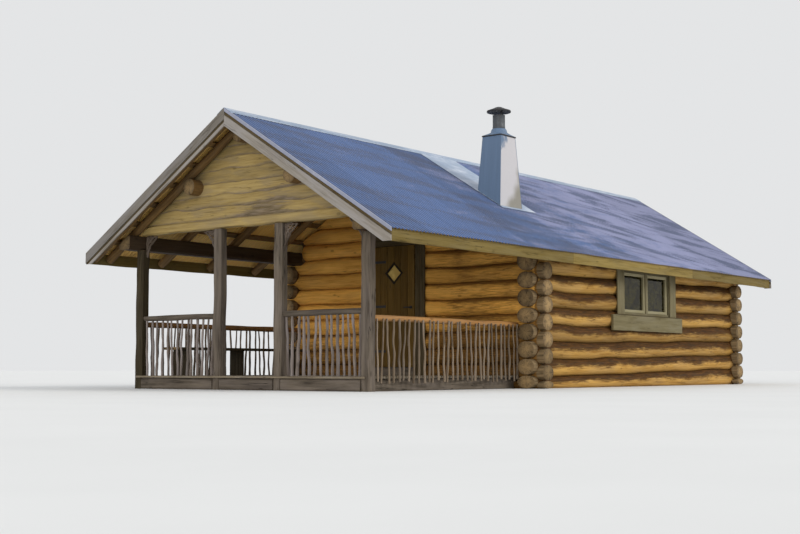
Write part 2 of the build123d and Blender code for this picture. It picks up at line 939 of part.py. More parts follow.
def chimney_flue():
    """The round flue pipe."""
    low = stack_top + seat_gap
    top = stack_top + rim_height + flue_height
    pipe = Pos(stack_x, stack_y, (low + top) / 2) * Cylinder(flue_diameter / 2, top - low)
    bore = Pos(stack_x, stack_y, (low + top) / 2) * Cylinder(flue_diameter / 2 - flue_wall, top - low + 2)
    return pipe - bore


def chimney_cap():
    """The rain cap: a low cone on a disc, carried by three straps inside the pipe."""
    low = stack_top + rim_height + flue_height + cap_gap
    disc = Pos(stack_x, stack_y, low + cap_plate / 2) * Cylinder(cap_diameter / 2, cap_plate)
    cone = Pos(stack_x, stack_y, low + cap_plate) * Cone(
        cap_diameter / 2, cap_diameter / 12, cap_height - cap_plate,
        align=(Align.CENTER, Align.CENTER, Align.MIN),
    )
    strap_low = low - 2 * cap_gap
    bore = flue_diameter / 2 - flue_wall - seat_gap
    reach = sqrt(bore ** 2 - (cap_strap_width / 2) ** 2) - cap_strap_thickness / 2
    straps = []
    for number in range(3):
        strap = Pos(reach, 0, (strap_low + low) / 2) * Box(cap_strap_thickness, cap_strap_width, low - strap_low)
        straps.append(Pos(stack_x, stack_y, 0) * Rot(0, 0, 120 * number) * strap)
    return disc + cone + straps


def chimney_flashing():
    """The flat saddle sheet from the ridge cap down past the stack."""
    wing = ridge_cap_wing * cos(radians(roof_angle))
    x0 = front_wall_x + saddle_start
    return plumb_strip(
        -1, wing + seat_gap, saddle_reach, -seat_gap - flashing_thickness, -seat_gap, x0, x0 + saddle_length
    )


# All pieces by name

sill_logs, front_near, front_far, front_over = front_wall()
upper_barge = barge_depth - barge_strip_depth - barge_strip_gap
lower_barge = barge_depth - barge_strip_depth

pieces = {
    "near_wall": side_wall(-1),
    "far_wall": side_wall(1),
    "front_sill_log": sill_logs,
    "front_wall_near": front_near,
    "front_wall_far": front_far,
    "front_gable_logs": front_over,
    "rear_wall": rear_wall(),
    "room_floor": [room_floor()],
    "room_sleepers": room_sleepers(),
    "wall_plates": [plates(-1), plates(1)],
    "roof_purlins": [purlin(-1), purlin(1), ridge_purlin()],
    "rafters": rafters(-1) + rafters(1),
    "battens": battens(-1) + battens(1),
    "near_roof_sheets": [roof_sheets(-1)],
    "far_roof_sheets": [roof_sheets(1)],
    "ridge_cap": [ridge_cap()],
    "bargeboards": [
        bargeboard(roof_front, 1, -1, 0, barge_depth),
        bargeboard(roof_front, 1, 1, 0, upper_barge),
        bargeboard(roof_front, 1, 1, lower_barge, barge_depth),
        bargeboard(roof_rear, -1, -1, 0, barge_depth),
        bargeboard(roof_rear, -1, 1, 0, barge_depth),
    ],
    "eave_fascias": [fascia(-1), fascia(1)],
    "porch_posts": [post(number) for number in range(4)],
    "tie_beam": [tie_beam()],
    "porch_gable": porch_gable(),
    "porch_deck": [porch_deck()],
    "porch_floor_beams": porch_joists() + porch_edge_beams(),
    "front_railings": [
        front_railing(post_places[0], post_places[1]),
        front_railing(post_places[2], post_places[3]),
    ],
    "side_railings": [side_railing(-1), side_railing(1)],
    "post_brackets": [bracket(0, 1), bracket(1, -1), bracket(2, 1), bracket(3, -1)],
    "porch_bench": porch_bench(),
    "door_frame": [door_frame()],
    "door_sill": [door_sill()],
    "door_casing": [door_casing()],
    "hinge_pintles": hinge_pintles(),
    "door_leaf": [door_leaf()],
    "door_pane": [door_pane()],
    "door_handle": door_handle(),
    "hinge_straps": hinge_straps(),
    "window_frames": [window_frame(-1), window_frame(1)],
    "window_panes": window_panes(-1) + window_panes(1),
    "window_casings": [window_casing(-1), window_casing(1)],
    "window_aprons": [window_apron(-1), window_apron(1)],
    "chimney_stack": [chimney_stack()],
    "chimney_rim": [chimney_rim()],
    "chimney_collar": [chimney_collar()],
    "chimney_flue": [chimney_flue()],
    "chimney_cap": [chimney_cap()],
    "chimney_flashing": [chimney_flashing()],
}

os.makedirs("parts", exist_ok=True)
for name, found in pieces.items():
    solids = []
    for item in found:
        solids += item.solids()
    export_step(Compound(solids), f"parts/{name}.step")
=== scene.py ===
import math
import random

import bmesh
import bpy
import numpy as np
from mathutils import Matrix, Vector


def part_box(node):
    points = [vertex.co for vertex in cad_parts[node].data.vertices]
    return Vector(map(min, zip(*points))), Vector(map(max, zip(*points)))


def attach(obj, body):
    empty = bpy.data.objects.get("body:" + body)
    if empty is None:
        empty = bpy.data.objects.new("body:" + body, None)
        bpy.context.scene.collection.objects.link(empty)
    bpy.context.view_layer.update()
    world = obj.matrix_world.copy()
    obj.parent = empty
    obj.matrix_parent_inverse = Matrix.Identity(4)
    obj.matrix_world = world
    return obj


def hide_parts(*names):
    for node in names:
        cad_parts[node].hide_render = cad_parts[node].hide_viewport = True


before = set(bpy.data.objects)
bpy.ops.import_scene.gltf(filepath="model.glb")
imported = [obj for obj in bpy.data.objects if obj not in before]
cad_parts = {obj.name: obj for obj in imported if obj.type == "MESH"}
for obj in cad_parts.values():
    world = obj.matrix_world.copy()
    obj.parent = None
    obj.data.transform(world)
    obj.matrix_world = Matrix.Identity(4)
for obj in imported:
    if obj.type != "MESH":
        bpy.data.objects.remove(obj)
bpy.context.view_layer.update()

# Sizes in metres. These are the source's own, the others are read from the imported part
SEAT_GAP = 0.0003
COURSES = 8
HALF_DEPTH = 0.15
ROOF_ANGLE = math.radians(32.2)
SLOPE = math.tan(ROOF_ANGLE)
SLOPE_COS = math.cos(ROOF_ANGLE)
SLOPE_SIN = math.sin(ROOF_ANGLE)
STRETCH = 1.0 / SLOPE_COS
SHEET_DEPTH = 0.018
BATTEN_DEPTH = 0.045
BATTEN_HALF = 0.0475
BATTEN_FIRST = 0.13
BATTEN_STEP = 0.5 * SLOPE_COS
RAFTER_DIAMETER = 0.14
RAFTER_TOP = SHEET_DEPTH + BATTEN_DEPTH
RAFTER_FOOT = RAFTER_TOP + RAFTER_DIAMETER
ENTRY_HALF = 0.61
ENTRY_MIDDLE = -0.055

sheets_low, sheets_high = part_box("near_roof_sheets")
cap_low, cap_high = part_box("ridge_cap")
fascia_low, fascia_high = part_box("eave_fascias")
plate_low, plate_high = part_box("wall_plates")
rear_low, rear_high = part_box("rear_wall")
sill_low, sill_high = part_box("front_sill_log")
near_low, near_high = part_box("near_wall")
post_low, post_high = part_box("porch_posts")
tie_low, tie_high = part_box("tie_beam")
window_low, window_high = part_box("window_frames")
frame_low, frame_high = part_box("door_frame")


def middle(low, high, axis):
    """The middle of a box along one axis."""
    return (low[axis] + high[axis]) / 2


RIDGE_Z = sheets_high[2]
EAVE_Y = -sheets_low[1]
ROOF_X0, ROOF_X1 = cap_low[0], cap_high[0]
SHEET_X0, SHEET_X1 = sheets_low[0], sheets_high[0]
FRONT_X = middle(sill_low, sill_high, 0)
REAR_X = middle(rear_low, rear_high, 0)
WALL_Y = -middle(near_low, near_high, 1)
WALL_TOP = near_high[2]
PITCH = (WALL_TOP + SEAT_GAP) / COURSES
POST_X = middle(post_low, post_high, 0)
POST_HALF = (post_high[0] - post_low[0]) / 2
POST_Y = post_high[1] - POST_HALF
POST_PLACES = [-POST_Y, ENTRY_MIDDLE - ENTRY_HALF, ENTRY_MIDDLE + ENTRY_HALF, POST_Y]
DECK_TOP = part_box("porch_deck")[1][2]
PLATE_INNER = tie_high[1]
RAFTER_END = EAVE_Y - 0.03 - 0.0253


def roof_z(y, depth=0.0):
    """Height of the plane that lies a given depth under the crests of the roof sheets."""
    return RIDGE_Z - SLOPE * abs(y) - depth * STRETCH


def slope_up(side):
    """The direction that stands up from one slope of the roof."""
    return (0, side * SLOPE_SIN, SLOPE_COS)


def limited(value, low=0.0, high=1.0):
    """The value kept between low and high."""
    return max(low, min(high, value))


def arch(part):
    """Nought at both ends of a bar and one in the middle, for its bend."""
    return math.sin(math.pi * part)


def waves(rng, amplitude, length, count=3):
    """A smooth random line: a sum of sines whose longest wave is the given length."""
    shrink = 0.62
    parts = []
    for number in range(count):
        scale = shrink ** number
        parts.append((
            amplitude * scale * rng.uniform(0.6, 1.0),
            2 * math.pi / (length * scale * rng.uniform(0.8, 1.2)),
            rng.uniform(0, 2 * math.pi),
        ))

    def line(value):
        return sum(a * math.sin(k * value + p) for a, k, p in parts)

    return line


def tube(size, steps):
    """Faces between rings of corners that follow each other."""
    return [
        (a + i, a + (i + 1) % size, a + size + (i + 1) % size, a + size + i)
        for a in range(0, steps * size, size) for i in range(size)
    ]


class Shape:
    """Collects closed forms into one mesh. A corner is (point, grain coordinates, shade)."""

    def __init__(self, seed):
        self.corners = []
        self.tone = []
        self.faces = []
        self.slots = []
        self.rng = random.Random(seed)

    def add(self, corners, faces, tone, slots):
        """Adds one form, whose faces count its own corners from nought."""
        start = len(self.corners)
        self.corners += corners
        self.tone += [tone] * len(corners)
        self.faces += [tuple(start + i for i in face) for face in faces]
        self.slots += slots

    def loft(self, rows, tone, side=0, end=0, bevel=0.001):
        """Rows of corners joined into a tube with bevelled, closed ends."""
        size = len(rows[0])
        last = len(rows) - 1
        corners = [corner for row in rows for corner in row]
        faces = tube(size, last)
        slots = [side] * len(faces)
        for row, other in ((0, 1), (last, last - 1)):
            ring = np.array([corner[0] for corner in rows[row]])
            centre = ring.mean(axis=0)
            away = centre - np.array([corner[0] for corner in rows[other]]).mean(axis=0)
            away = away / (np.linalg.norm(away) or 1.0)
            reach = np.linalg.norm(ring - centre, axis=1).mean() or 1.0
            keep = max(0.3, 1 - bevel / reach)
            inner = centre + (ring - centre) * keep + away * bevel * 0.6
            base = row * size
            first = len(corners)
            for point, (_, (along, across, up), shade) in zip(inner, rows[row]):
                corners.append((tuple(point), (along, across * keep, up * keep), shade))
            closing = [
                (base + i, base + (i + 1) % size, first + (i + 1) % size, first + i) for i in range(size)
            ]
            closing.append(tuple(range(first, first + size)))
            faces += closing if row else [face[::-1] for face in closing]
            slots += [end] * len(closing)
        self.add(corners, faces, tone, slots)

    def bar(self, start, stop, section, up=(0, 0, 1), tone=None, step=0.12, rough=0.0, bend=None,
            taper=None, side=0, end=0, bevel=0.004, shade_ends=0.0, clamp=None):
        """A bar along a line: section gives (sideways, up) points around its axis."""
        rng = self.rng
        start = np.array(start, float)
        stop = np.array(stop, float)
        length = float(np.linalg.norm(stop - start))
        along = (stop - start) / length
        up = np.array(up, float)
        up = up - along * float(up @ along)
        up /= np.linalg.norm(up)
        across = np.cross(along, up)
        count = max(2, int(math.ceil(length / step)) + 1)
        tone = rng.random() if tone is None else tone
        offset = rng.uniform(0, 40)
        humps = [(rng.uniform(2, 9), rng.uniform(1, 3), rng.uniform(0, 6.3)) for _ in range(4)]
        rows = []
        for number in range(count):
            part = number / (count - 1)
            s = part * length
            scale = taper(part) if taper else 1.0
            du, dv = bend(part) if bend else (0.0, 0.0)
            shade = shade_ends * max(0.0, 1 - min(s, length - s) / 0.12)
            row = []
            for i, (u, v) in enumerate(section):
                bump = 0.0
                if rough:
                    for k, m, p in humps:
                        bump += math.sin(k * s + round(m) * (2 * math.pi * i / len(section)) + p)
                    bump *= rough / 3
                    bump /= math.hypot(u, v) or 1.0
                uu = u * scale * (1 + bump) + du
                vv = v * scale * (1 + bump) + dv
                point = start + along * s + across * uu + up * vv
                row.append((tuple(clamp(point) if clamp else point), (s + offset, u * scale, v * scale), shade))
            rows.append(row)
        self.loft(rows, tone, side, end, bevel)

    def plate(self, outline, place, depth_from, depth_to, tone=None, side=0, end=0, bevel=0.003, grain_turn=0.0):
        """A flat board with any outline: place(u, v, w) turns outline and depth into a point."""
        rng = self.rng
        tone = rng.random() if tone is None else tone
        offset = rng.uniform(0, 40)
        flat = np.array(outline, float)
        size = len(flat)
        after = np.roll(flat, -1, axis=0)
        tangent = after - np.roll(flat, 1, axis=0)
        tangent /= np.maximum(np.linalg.norm(tangent, axis=1, keepdims=True), 1e-9)
        turn = 1.0 if np.sum(flat[:, 0] * after[:, 1] - after[:, 0] * flat[:, 1]) > 0 else -1.0
        inner = flat + np.stack([-tangent[:, 1], tangent[:, 0]], axis=1) * turn * bevel
        way = bevel if depth_to > depth_from else -bevel
        cos_t, sin_t = math.cos(grain_turn), math.sin(grain_turn)
        corners = []
        for ring, w in ((inner, depth_from), (flat, depth_from + way), (flat, depth_to - way), (inner, depth_to)):
            for u, v in ring:
                grain = (u * cos_t + v * sin_t + offset, -u * sin_t + v * cos_t, w)
                corners.append((tuple(place(u, v, w)), grain, 0.0))
        faces = [tuple(range(size))[::-1], *tube(size, 3), tuple(range(3 * size, 4 * size))]
        slots = [side] * (1 + size) + [end] * size + [side] * (size + 1)
        self.add(corners, faces, tone, slots)

    def make(self, name, materials, slot, replaces, body="cabin", sharp=35.0):
        """Turns what was collected into an object on a CAD body."""
        points, grain, shade = zip(*self.corners)
        mesh = bpy.data.meshes.new(name)
        mesh.from_pydata(points, [], self.faces)
        for material in materials:
            mesh.materials.append(material)
        mesh.polygons.foreach_set("material_index", self.slots)
        mesh.polygons.foreach_set("use_smooth", [True] * len(self.faces))
        for label, kind, field, values in (
            ("grain", "FLOAT_VECTOR", "vector", grain),
            ("tone", "FLOAT", "value", self.tone),
            ("shade", "FLOAT", "value", shade),
        ):
            attribute = mesh.attributes.new(label, kind, "POINT")
            attribute.data.foreach_set(field, np.array(values, np.float32).ravel())
        mesh.update()
        turn_outward(mesh)
        mesh.set_sharp_from_angle(angle=math.radians(sharp))
        piece = bpy.data.objects.new(name, mesh)
        bpy.context.collection.objects.link(piece)
        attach(piece, body)
        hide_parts(*replaces)


def turn_outward(mesh):
    """Makes the faces of every closed form look outward."""
    work = bmesh.new()
    work.from_mesh(mesh)
    bmesh.ops.recalc_face_normals(work, faces=work.faces)
    work.to_mesh(mesh)
    work.free()
    mesh.update()


def circle(radius, count):
    """The points of a round section."""
    angles = [2 * math.pi * i / count for i in range(count)]
    return [(radius * math.cos(angle), radius * math.sin(angle)) for angle in angles]


def rectangle(width, height, chamfer=0.003, split=0):
    """A rectangle around the axis with cut corners, its sides optionally divided."""
    a = width / 2
    b = height / 2
    c = min(chamfer, a * 0.45, b * 0.45)
    corners = [
        (a - c, -b), (a, -b + c), (a, b - c), (a - c, b), (-a + c, b), (-a, b - c), (-a, -b + c), (-a + c, -b),
    ]
    found = []
    for i, p in enumerate(corners):
        q = corners[(i + 1) % len(corners)]
        found.append(p)
        if i % 2:
            for k in range(1, split + 1):
                t = k / (split + 1)
                found.append((p[0] + (q[0] - p[0]) * t, p[1] + (q[1] - p[1]) * t))
    return found


# Materials


class Graph:
    """A node tree, with short names for the shader nodes in it."""

    def __init__(self, tree):
        self.tree = tree
        tree.nodes.clear()

    def put(self, socket, value):
        """Links a socket to the output of a node, or sets the socket's own value."""
        if isinstance(value, bpy.types.NodeSocket):
            self.tree.links.new(value, socket)
        else:
            socket.default_value = value

    def node(self, kind, output=0, inputs=None, **settings):
        """Adds a node with its settings and inputs, and returns one of its outputs."""
        node = self.tree.nodes.new("ShaderNode" + kind)
        for name, value in settings.items():
            setattr(node, name, value)
        for name, value in (inputs or {}).items():
            self.put(node.inputs[name], value)
        return node.outputs[output]

    def attribute(self, name, output="Fac"):
        """Reads what Shape.make stored in the mesh: grain (Vector), tone or shade."""
        return self.node("Attribute", output, attribute_name=name)

    def stretched(self, vector, scale):
        """Coordinates multiplied by a factor for each axis."""
        return self.node("VectorMath", 0, {0: vector, 1: scale}, operation="MULTIPLY")

    def noise(self, vector, scale, detail, roughness=0.55, distortion=0.0):
        return self.node("TexNoise", "Fac", {"Vector": vector, "Scale": scale, "Detail": detail,
                                             "Roughness": roughness, "Distortion": distortion})

    def cloud(self, vector, stretch, detail, roughness=0.55, distortion=0.0):
        """Noise in stretched coordinates."""
        return self.noise(self.stretched(vector, stretch), 1.0, detail, roughness, distortion)

    def math(self, operation, a, b=0.0):
        return self.node("Math", 0, {0: a, 1: b}, operation=operation)

    def total(self, *terms):
        """The sum of values, each multiplied by its factor."""
        found = None
        for value, factor in terms:
            term = self.math("MULTIPLY", value, factor)
            found = self.math("ADD", found, term) if found else term
        return found

    def off_middle(self, value):
        """How far a noise is from its middle value."""
        return self.math("SUBTRACT", value, 0.5)

    def span(self, value, low, high, to_low=0.0, to_high=1.0):
        """Maps low to high onto another range, with soft ends."""
        return self.node("MapRange", "Result", {"Value": value, "From Min": low, "From Max": high, "To Min": to_low,
                                                "To Max": to_high}, interpolation_type="SMOOTHSTEP")

    def ramp(self, value, stops):
        node = self.tree.nodes.new("ShaderNodeValToRGB")
        self.put(node.inputs["Fac"], value)
        elements = node.color_ramp.elements
        while len(elements) < len(stops):
            elements.new(0.5)
        for element, (place, colour) in zip(elements, stops):
            element.position = place
            element.color = (*colour, 1.0)
        return node.outputs["Color"]

    def mix(self, factor, a, b, mode="MIX"):
        """Two colours mixed, each a socket or (red, green, blue)."""
        a, b = (c if isinstance(c, bpy.types.NodeSocket) else (*c, 1.0) for c in (a, b))
        return self.node("Mix", 2, {0: factor, 6: a, 7: b}, data_type="RGBA", blend_type=mode)

    def toned(self, colour, low, high):
        """The colour darkened or brightened by the tone of its board."""
        bright = self.span(self.attribute("tone"), 0.0, 1.0, low, high)
        return self.mix(1.0, colour, self.join(bright, bright, bright), "MULTIPLY")

    def parts(self, vector):
        node = self.tree.nodes.new("ShaderNodeSeparateXYZ")
        self.put(node.inputs[0], vector)
        return node.outputs

    def join(self, x, y, z):
        return self.node("CombineXYZ", 0, {0: x, 1: y, 2: z})


class Material(Graph):
    """A material with one principled shader."""

    def __init__(self, name):
        self.material = bpy.data.materials.new(name)
        self.material.use_nodes = True
        super().__init__(self.material.node_tree)
        self.shader = self.tree.nodes.new("ShaderNodeBsdfPrincipled")
        output = self.tree.nodes.new("ShaderNodeOutputMaterial")
        self.tree.links.new(self.shader.outputs["BSDF"], output.inputs["Surface"])

    def surface(self, values):
        """Sets inputs of the shader, a constant on the shader's own socket."""
        for name, value in values.items():
            self.put(self.shader.inputs[name], value)

    def bump(self, height, strength, distance):
        """Gives the shader a relief."""
        inputs = {"Strength": strength, "Distance": distance, "Height": height}
        self.surface({"Normal": self.node("Bump", "Normal", inputs)})


def scaled(colour, factor):
    """A colour made brighter or darker, no part of it over one."""
    return tuple(min(1.0, c * factor) for c in colour)


def wood(name, light, dark, grey=(0.3, 0.28, 0.26), grey_part=0.35, shade_colour=(0.03, 0.022, 0.013),
         shade_part=0.85, fine=34.0, knots=0.5, cracks=0.6, bump=0.45):
    """Weathered wood whose grain runs along the first grain coordinate."""
    g = Material(name)
    grain = g.attribute("grain", "Vector")
    shade = g.attribute("shade")
    streak = g.cloud(grain, (1.7, fine, fine), 5.0, 0.6, 0.15)
    hair = g.cloud(grain, (5.0, fine * 4, fine * 4), 3.0, 0.5)
    patch = g.cloud(grain, (0.9, 4.5, 4.5), 3.0, 0.5, 0.4)
    between = tuple((a + b) / 2 for a, b in zip(light, dark))
    base = g.ramp(g.total((streak, 0.62), (patch, 0.35)), [(0.34, dark), (0.47, between), (0.62, light)])
    base = g.mix(g.span(hair, 0.35, 0.7, 0.0, 0.35), base, scaled(light, 1.12))
    worn = g.cloud(grain, (1.3, 7.0, 7.0), 4.0, 0.6, 0.6)
    base = g.mix(g.span(worn, 0.42, 0.66, 0.0, grey_part), base, grey)
    spot = g.node("TexVoronoi", "Distance", {"Vector": g.stretched(grain, (2.3, 4.4, 4.4)), "Scale": 1.0,
                                             "Randomness": 1.0})
    knot = g.span(spot, 0.05, 0.12, knots, 0.0)
    base = g.mix(knot, base, scaled(dark, 0.32))
    split = g.cloud(grain, (0.8, 21.0, 21.0), 2.0, 0.5, 0.1)
    line = g.math("ABSOLUTE", g.off_middle(split))
    where = g.span(g.cloud(grain, (0.7, 3.0, 3.0), 1.0), 0.46, 0.58)
    crack = g.math("MULTIPLY", g.span(line, 0.004, 0.014, 1.0, 0.0), where)
    base = g.mix(g.math("MULTIPLY", crack, cracks), base, scaled(dark, 0.16))
    base = g.toned(base, 0.76, 1.16)
    # Settled dirt and painted shade where shade is up to 1, with a frayed edge, and bare weathered wood from 1.1
    edge = g.cloud(grain, (2.6, 17.0, 17.0), 5.0, 0.7, 0.5)
    fibre = g.cloud(grain, (4.5, 62.0, 62.0), 4.0, 0.65, 0.2)
    fray = g.total((g.off_middle(edge), 0.95), (g.off_middle(fibre), 1.1))
    dirt_and_shade = g.span(g.math("ADD", shade, fray), 0.28, 0.80, 0.0, shade_part)
    soil_and_shade = g.mix(g.span(fibre, 0.36, 0.66), scaled(shade_colour, 0.6), scaled(shade_colour, 2.6))
    base = g.mix(dirt_and_shade, base, soil_and_shade)
    weathered = (0.245, 0.170, 0.088)
    bare = g.ramp(streak, [(0.36, scaled(weathered, 0.42)), (0.62, weathered)])
    base = g.mix(g.span(shade, 1.1, 1.6), base, bare)
    g.surface({"Base Color": base, "Roughness": g.span(streak, 0.3, 0.7, 0.85, 0.62), "Specular IOR Level": 0.15})
    g.bump(g.total((streak, 0.6), (hair, 0.25), (crack, -1.2), (knot, 0.5)), bump, 0.006)
    return g.material


def end_grain(name, light, dark):
    """Sawn log end: rings, drying cracks and a grey rim."""
    g = Material(name)
    grain = g.attribute("grain", "Vector")
    along, across, up = g.parts(grain)
    radius = g.node("VectorMath", "Value", {0: g.join(0.0, across, up)}, operation="LENGTH")
    wobble = g.math("MULTIPLY", g.noise(grain, 9.0, 3.0), 0.03)
    ring = g.math("SINE", g.math("MULTIPLY", g.math("ADD", radius, wobble), 760.0))
    angle = g.math("ARCTAN2", up, across)
    rays = g.noise(g.join(g.math("MULTIPLY", angle, 2.6), g.math("MULTIPLY", radius, 2.0), along), 1.0, 2.0, 0.6)
    crack = g.span(g.math("ABSOLUTE", g.off_middle(rays)), 0.004, 0.022, 1.0, 0.0)
    base = g.ramp(g.span(ring, -1.0, 1.0), [(0.0, scaled(light, 0.74)), (0.55, light), (1.0, scaled(light, 1.1))])
    base = g.mix(g.span(radius, 0.02, 0.15, 0.05, 0.85), base, dark)
    stain = g.cloud(grain, (1.0, 14.0, 14.0), 4.0, 0.6)
    base = g.mix(g.span(stain, 0.45, 0.7, 0.0, 0.6), base, scaled(dark, 0.7))
    base = g.mix(g.math("MULTIPLY", crack, 0.75), base, (0.02, 0.014, 0.01))
    base = g.toned(base, 0.7, 1.2)
    g.surface({"Base Color": base, "Roughness": g.span(stain, 0.3, 0.7, 0.9, 0.75), "Specular IOR Level": 0.2})
    g.bump(g.math("SUBTRACT", g.math("MULTIPLY", ring, 0.15), crack), 0.4, 0.004)
    return g.material


def sheet_metal(name, colour, worn, worn_and_sheen_part, rust_part=0.15, rough=(0.32, 0.55), stretch=(0.5, 1.3, 3.0),
                streaks=0.25, dark=None, sheen_and_wear_weight=0.2, sheen_and_wear_from=0.55, valley_shade=0.0):
    """Painted sheet metal with worn patches, run-off streaks and a little rust, optionally with painted shadow
    bands, valley shade, crest highlights and sheen.
    """
    g = Material(name)
    grain = g.attribute("grain", "Vector")
    shade = g.attribute("shade")
    patch = g.cloud(grain, stretch, 6.0, 0.66, 0.6)
    grit = g.cloud(grain, (22.0, 9.0, 7.0 * stretch[2]), 5.0, 0.7)
    run = g.cloud(grain, (15.0, 0.7, stretch[2]), 4.0, 0.6, 0.2)
    base = g.mix(g.span(run, 0.35, 0.68, 0.0, streaks), scaled(colour, 0.92), scaled(colour, 1.22))
    # The shade attribute spreads the worn colour: worn paint, and painted sheen towards the rear of the roof and a
    # painted highlight on the stack's near side.
    wear = g.total((patch, 0.75), (grit, 0.3), (shade, sheen_and_wear_weight))
    sheen_and_wear_mask = g.span(wear, sheen_and_wear_from, sheen_and_wear_from + 0.2, 0.0, worn_and_sheen_part)
    base = g.mix(sheen_and_wear_mask, base, worn)
    if dark:
        # Painted shadow: dark bands that run aslant along the roof, cast shadows of trees
        along, down, _ = g.parts(grain)
        shadow_band = g.noise(g.join(g.math("MULTIPLY", along, 0.5), g.total((along, 0.55), (down, 2.9)), 0.0),
                       1.0, 6.0, 0.68, 0.5)
        base = g.mix(g.span(shadow_band, 0.46, 0.60, 0.0, 0.85), base, dark)
    # Grey-brown where shade is over 1.05: grime and painted shadow, low on the stack's near side
    base = g.mix(g.span(shade, 1.05, 1.6, 0.0, 0.85), base, (0.20, 0.185, 0.14))
    if valley_shade:
        # Painted shade in the valleys of the corrugation and a painted highlight on the crests
        wave = g.parts(grain)[2]
        base = g.mix(g.span(wave, -1.0, 0.2, valley_shade, 0.0), base, scaled(colour, 0.28))
        base = g.mix(g.span(wave, 0.2, 1.0, 0.0, 0.3), base, scaled(worn, 1.15))
    spot = g.cloud(grain, (5.0, 3.5, 2.0 * stretch[2]), 6.0, 0.72, 0.3)
    rust = g.span(spot, 0.66, 0.74, 0.0, rust_part)
    base = g.toned(g.mix(rust, base, (0.20, 0.085, 0.04)), 0.88, 1.1)
    roughness = g.math("ADD", g.span(grit, 0.3, 0.7, *rough), g.math("MULTIPLY", sheen_and_wear_mask, 0.12))
    g.surface({"Base Color": base, "Roughness": roughness, "Specular IOR Level": 0.35})
    g.bump(g.total((grit, 0.4), (rust, 0.6)), 0.12, 0.002)
    return g.material


def iron(name, colour, brown, brown_part=0.3):
    """Dark matt iron with faint rust and dust."""
    g = Material(name)
    place = g.node("TexCoord", "Object")
    blotch = g.noise(place, 14.0, 5.0, 0.65)
    grit = g.noise(place, 160.0, 3.0, 0.6)
    base = g.mix(g.span(blotch, 0.45, 0.7, 0.0, brown_part), colour, brown)
    base = g.mix(g.span(grit, 0.45, 0.8, 0.0, 0.3), base, scaled(colour, 2.2))
    g.surface({"Base Color": base, "Roughness": g.span(blotch, 0.3, 0.7, 0.45, 0.75), "Metallic": 0.25})
    g.bump(grit, 0.2, 0.0015)
    return g.material


def glass(name, tint, dim, clear):
    """Old window glass, faintly wavy, tinted in cloudy patches and dusty, its reflections tinted golden: painted
    reflection.
    """
    g = Material(name)
    place = g.node("TexCoord", "Object")
    wave = g.noise(place, 3.5, 2.0, 0.5)
    dust = g.noise(place, 9.0, 5.0, 0.7)
    blotch = g.noise(place, 5.0, 3.0, 0.6, 0.8)
    g.surface({
        "Base Color": g.mix(g.span(blotch, 0.40, 0.60), tint, dim),
        "Roughness": g.span(dust, 0.45, 0.8, 0.04, 0.22),
        "Transmission Weight": clear,
        "Specular IOR Level": 0.12,
        # Painted reflection: the reflections are tinted golden.
        "Specular Tint": (1.0, 0.84, 0.40, 1.0),
        "IOR": 1.3,
    })
    g.bump(wave, 0.25, 0.01)
    return g.material


wall_wood = wood("wall_log", (0.52, 0.305, 0.078), (0.25, 0.120, 0.022), (0.36, 0.24, 0.11), 0.3,
                 shade_colour=(0.036, 0.014, 0.002), shade_part=0.97)
# The porch log is the wall log made brighter and more orange: painted light for the porch wall, which lies in sun.
porch_lit_wood = wood("porch_log", (0.80, 0.43, 0.090), (0.46, 0.21, 0.036), (0.42, 0.26, 0.10), 0.2,
                  shade_colour=(0.085, 0.040, 0.009), shade_part=0.9)
log_end = end_grain("log_end", (0.33, 0.22, 0.10), (0.13, 0.088, 0.045))
# The plate wood is the roof pole wood made nearly black: painted shade for the plates, which lie in shadow under
# the eaves.
shaded_plate_wood = wood("shaded_plate_wood", (0.070, 0.042, 0.021), (0.030, 0.017, 0.009), (0.085, 0.062, 0.040), 0.35)
roof_wood = wood("roof_pole", (0.25, 0.145, 0.050), (0.085, 0.045, 0.016), (0.14, 0.105, 0.065), 0.4, knots=0.35)
gable_wood = wood("gable_board", (0.345, 0.252, 0.098), (0.19, 0.128, 0.042), (0.19, 0.152, 0.095), 0.5,
                  shade_colour=(0.072, 0.056, 0.044), shade_part=0.75, fine=26.0, knots=0.4, cracks=0.4)
silver_wood = wood("silver_wood", (0.150, 0.121, 0.091), (0.022, 0.016, 0.011), (0.150, 0.124, 0.108), 0.35,
                   knots=0.4, cracks=0.85, bump=0.6, fine=22.0)
# The dark post wood is the silver wood made dark: painted shade for the far post, which stands in shadow. The bench
# uses it too.
dark_post = wood("dark_post", (0.060, 0.045, 0.022), (0.022, 0.016, 0.008), (0.062, 0.050, 0.034), 0.4,
                 cracks=0.8, bump=0.6)
twig_wood = wood("twig_wood", (0.130, 0.098, 0.072), (0.036, 0.024, 0.016), (0.19, 0.16, 0.145), 0.3,
                 fine=60.0, knots=0.4, cracks=0.5)
stick_wood = wood("stick_wood", (0.23, 0.19, 0.165), (0.095, 0.073, 0.058), (0.27, 0.24, 0.235), 0.6,
                  fine=60.0, cracks=0.5)
brown_stick = wood("brown_stick", (0.215, 0.165, 0.115), (0.088, 0.060, 0.038), (0.25, 0.205, 0.165), 0.5,
                   fine=60.0, cracks=0.5)
rail_wood = wood("rail_wood", (0.36, 0.185, 0.060), (0.18, 0.082, 0.025), (0.24, 0.165, 0.10), 0.3)
floor_wood = wood("floor_wood", (0.33, 0.22, 0.10), (0.17, 0.10, 0.04), grey_part=0.25)
deck_wood = wood("deck_wood", (0.22, 0.18, 0.125), (0.095, 0.072, 0.048), (0.22, 0.195, 0.16), 0.6)
barge_wood = wood("barge_wood", (0.25, 0.225, 0.195), (0.14, 0.12, 0.095), (0.28, 0.265, 0.26), 0.55, knots=0.35)
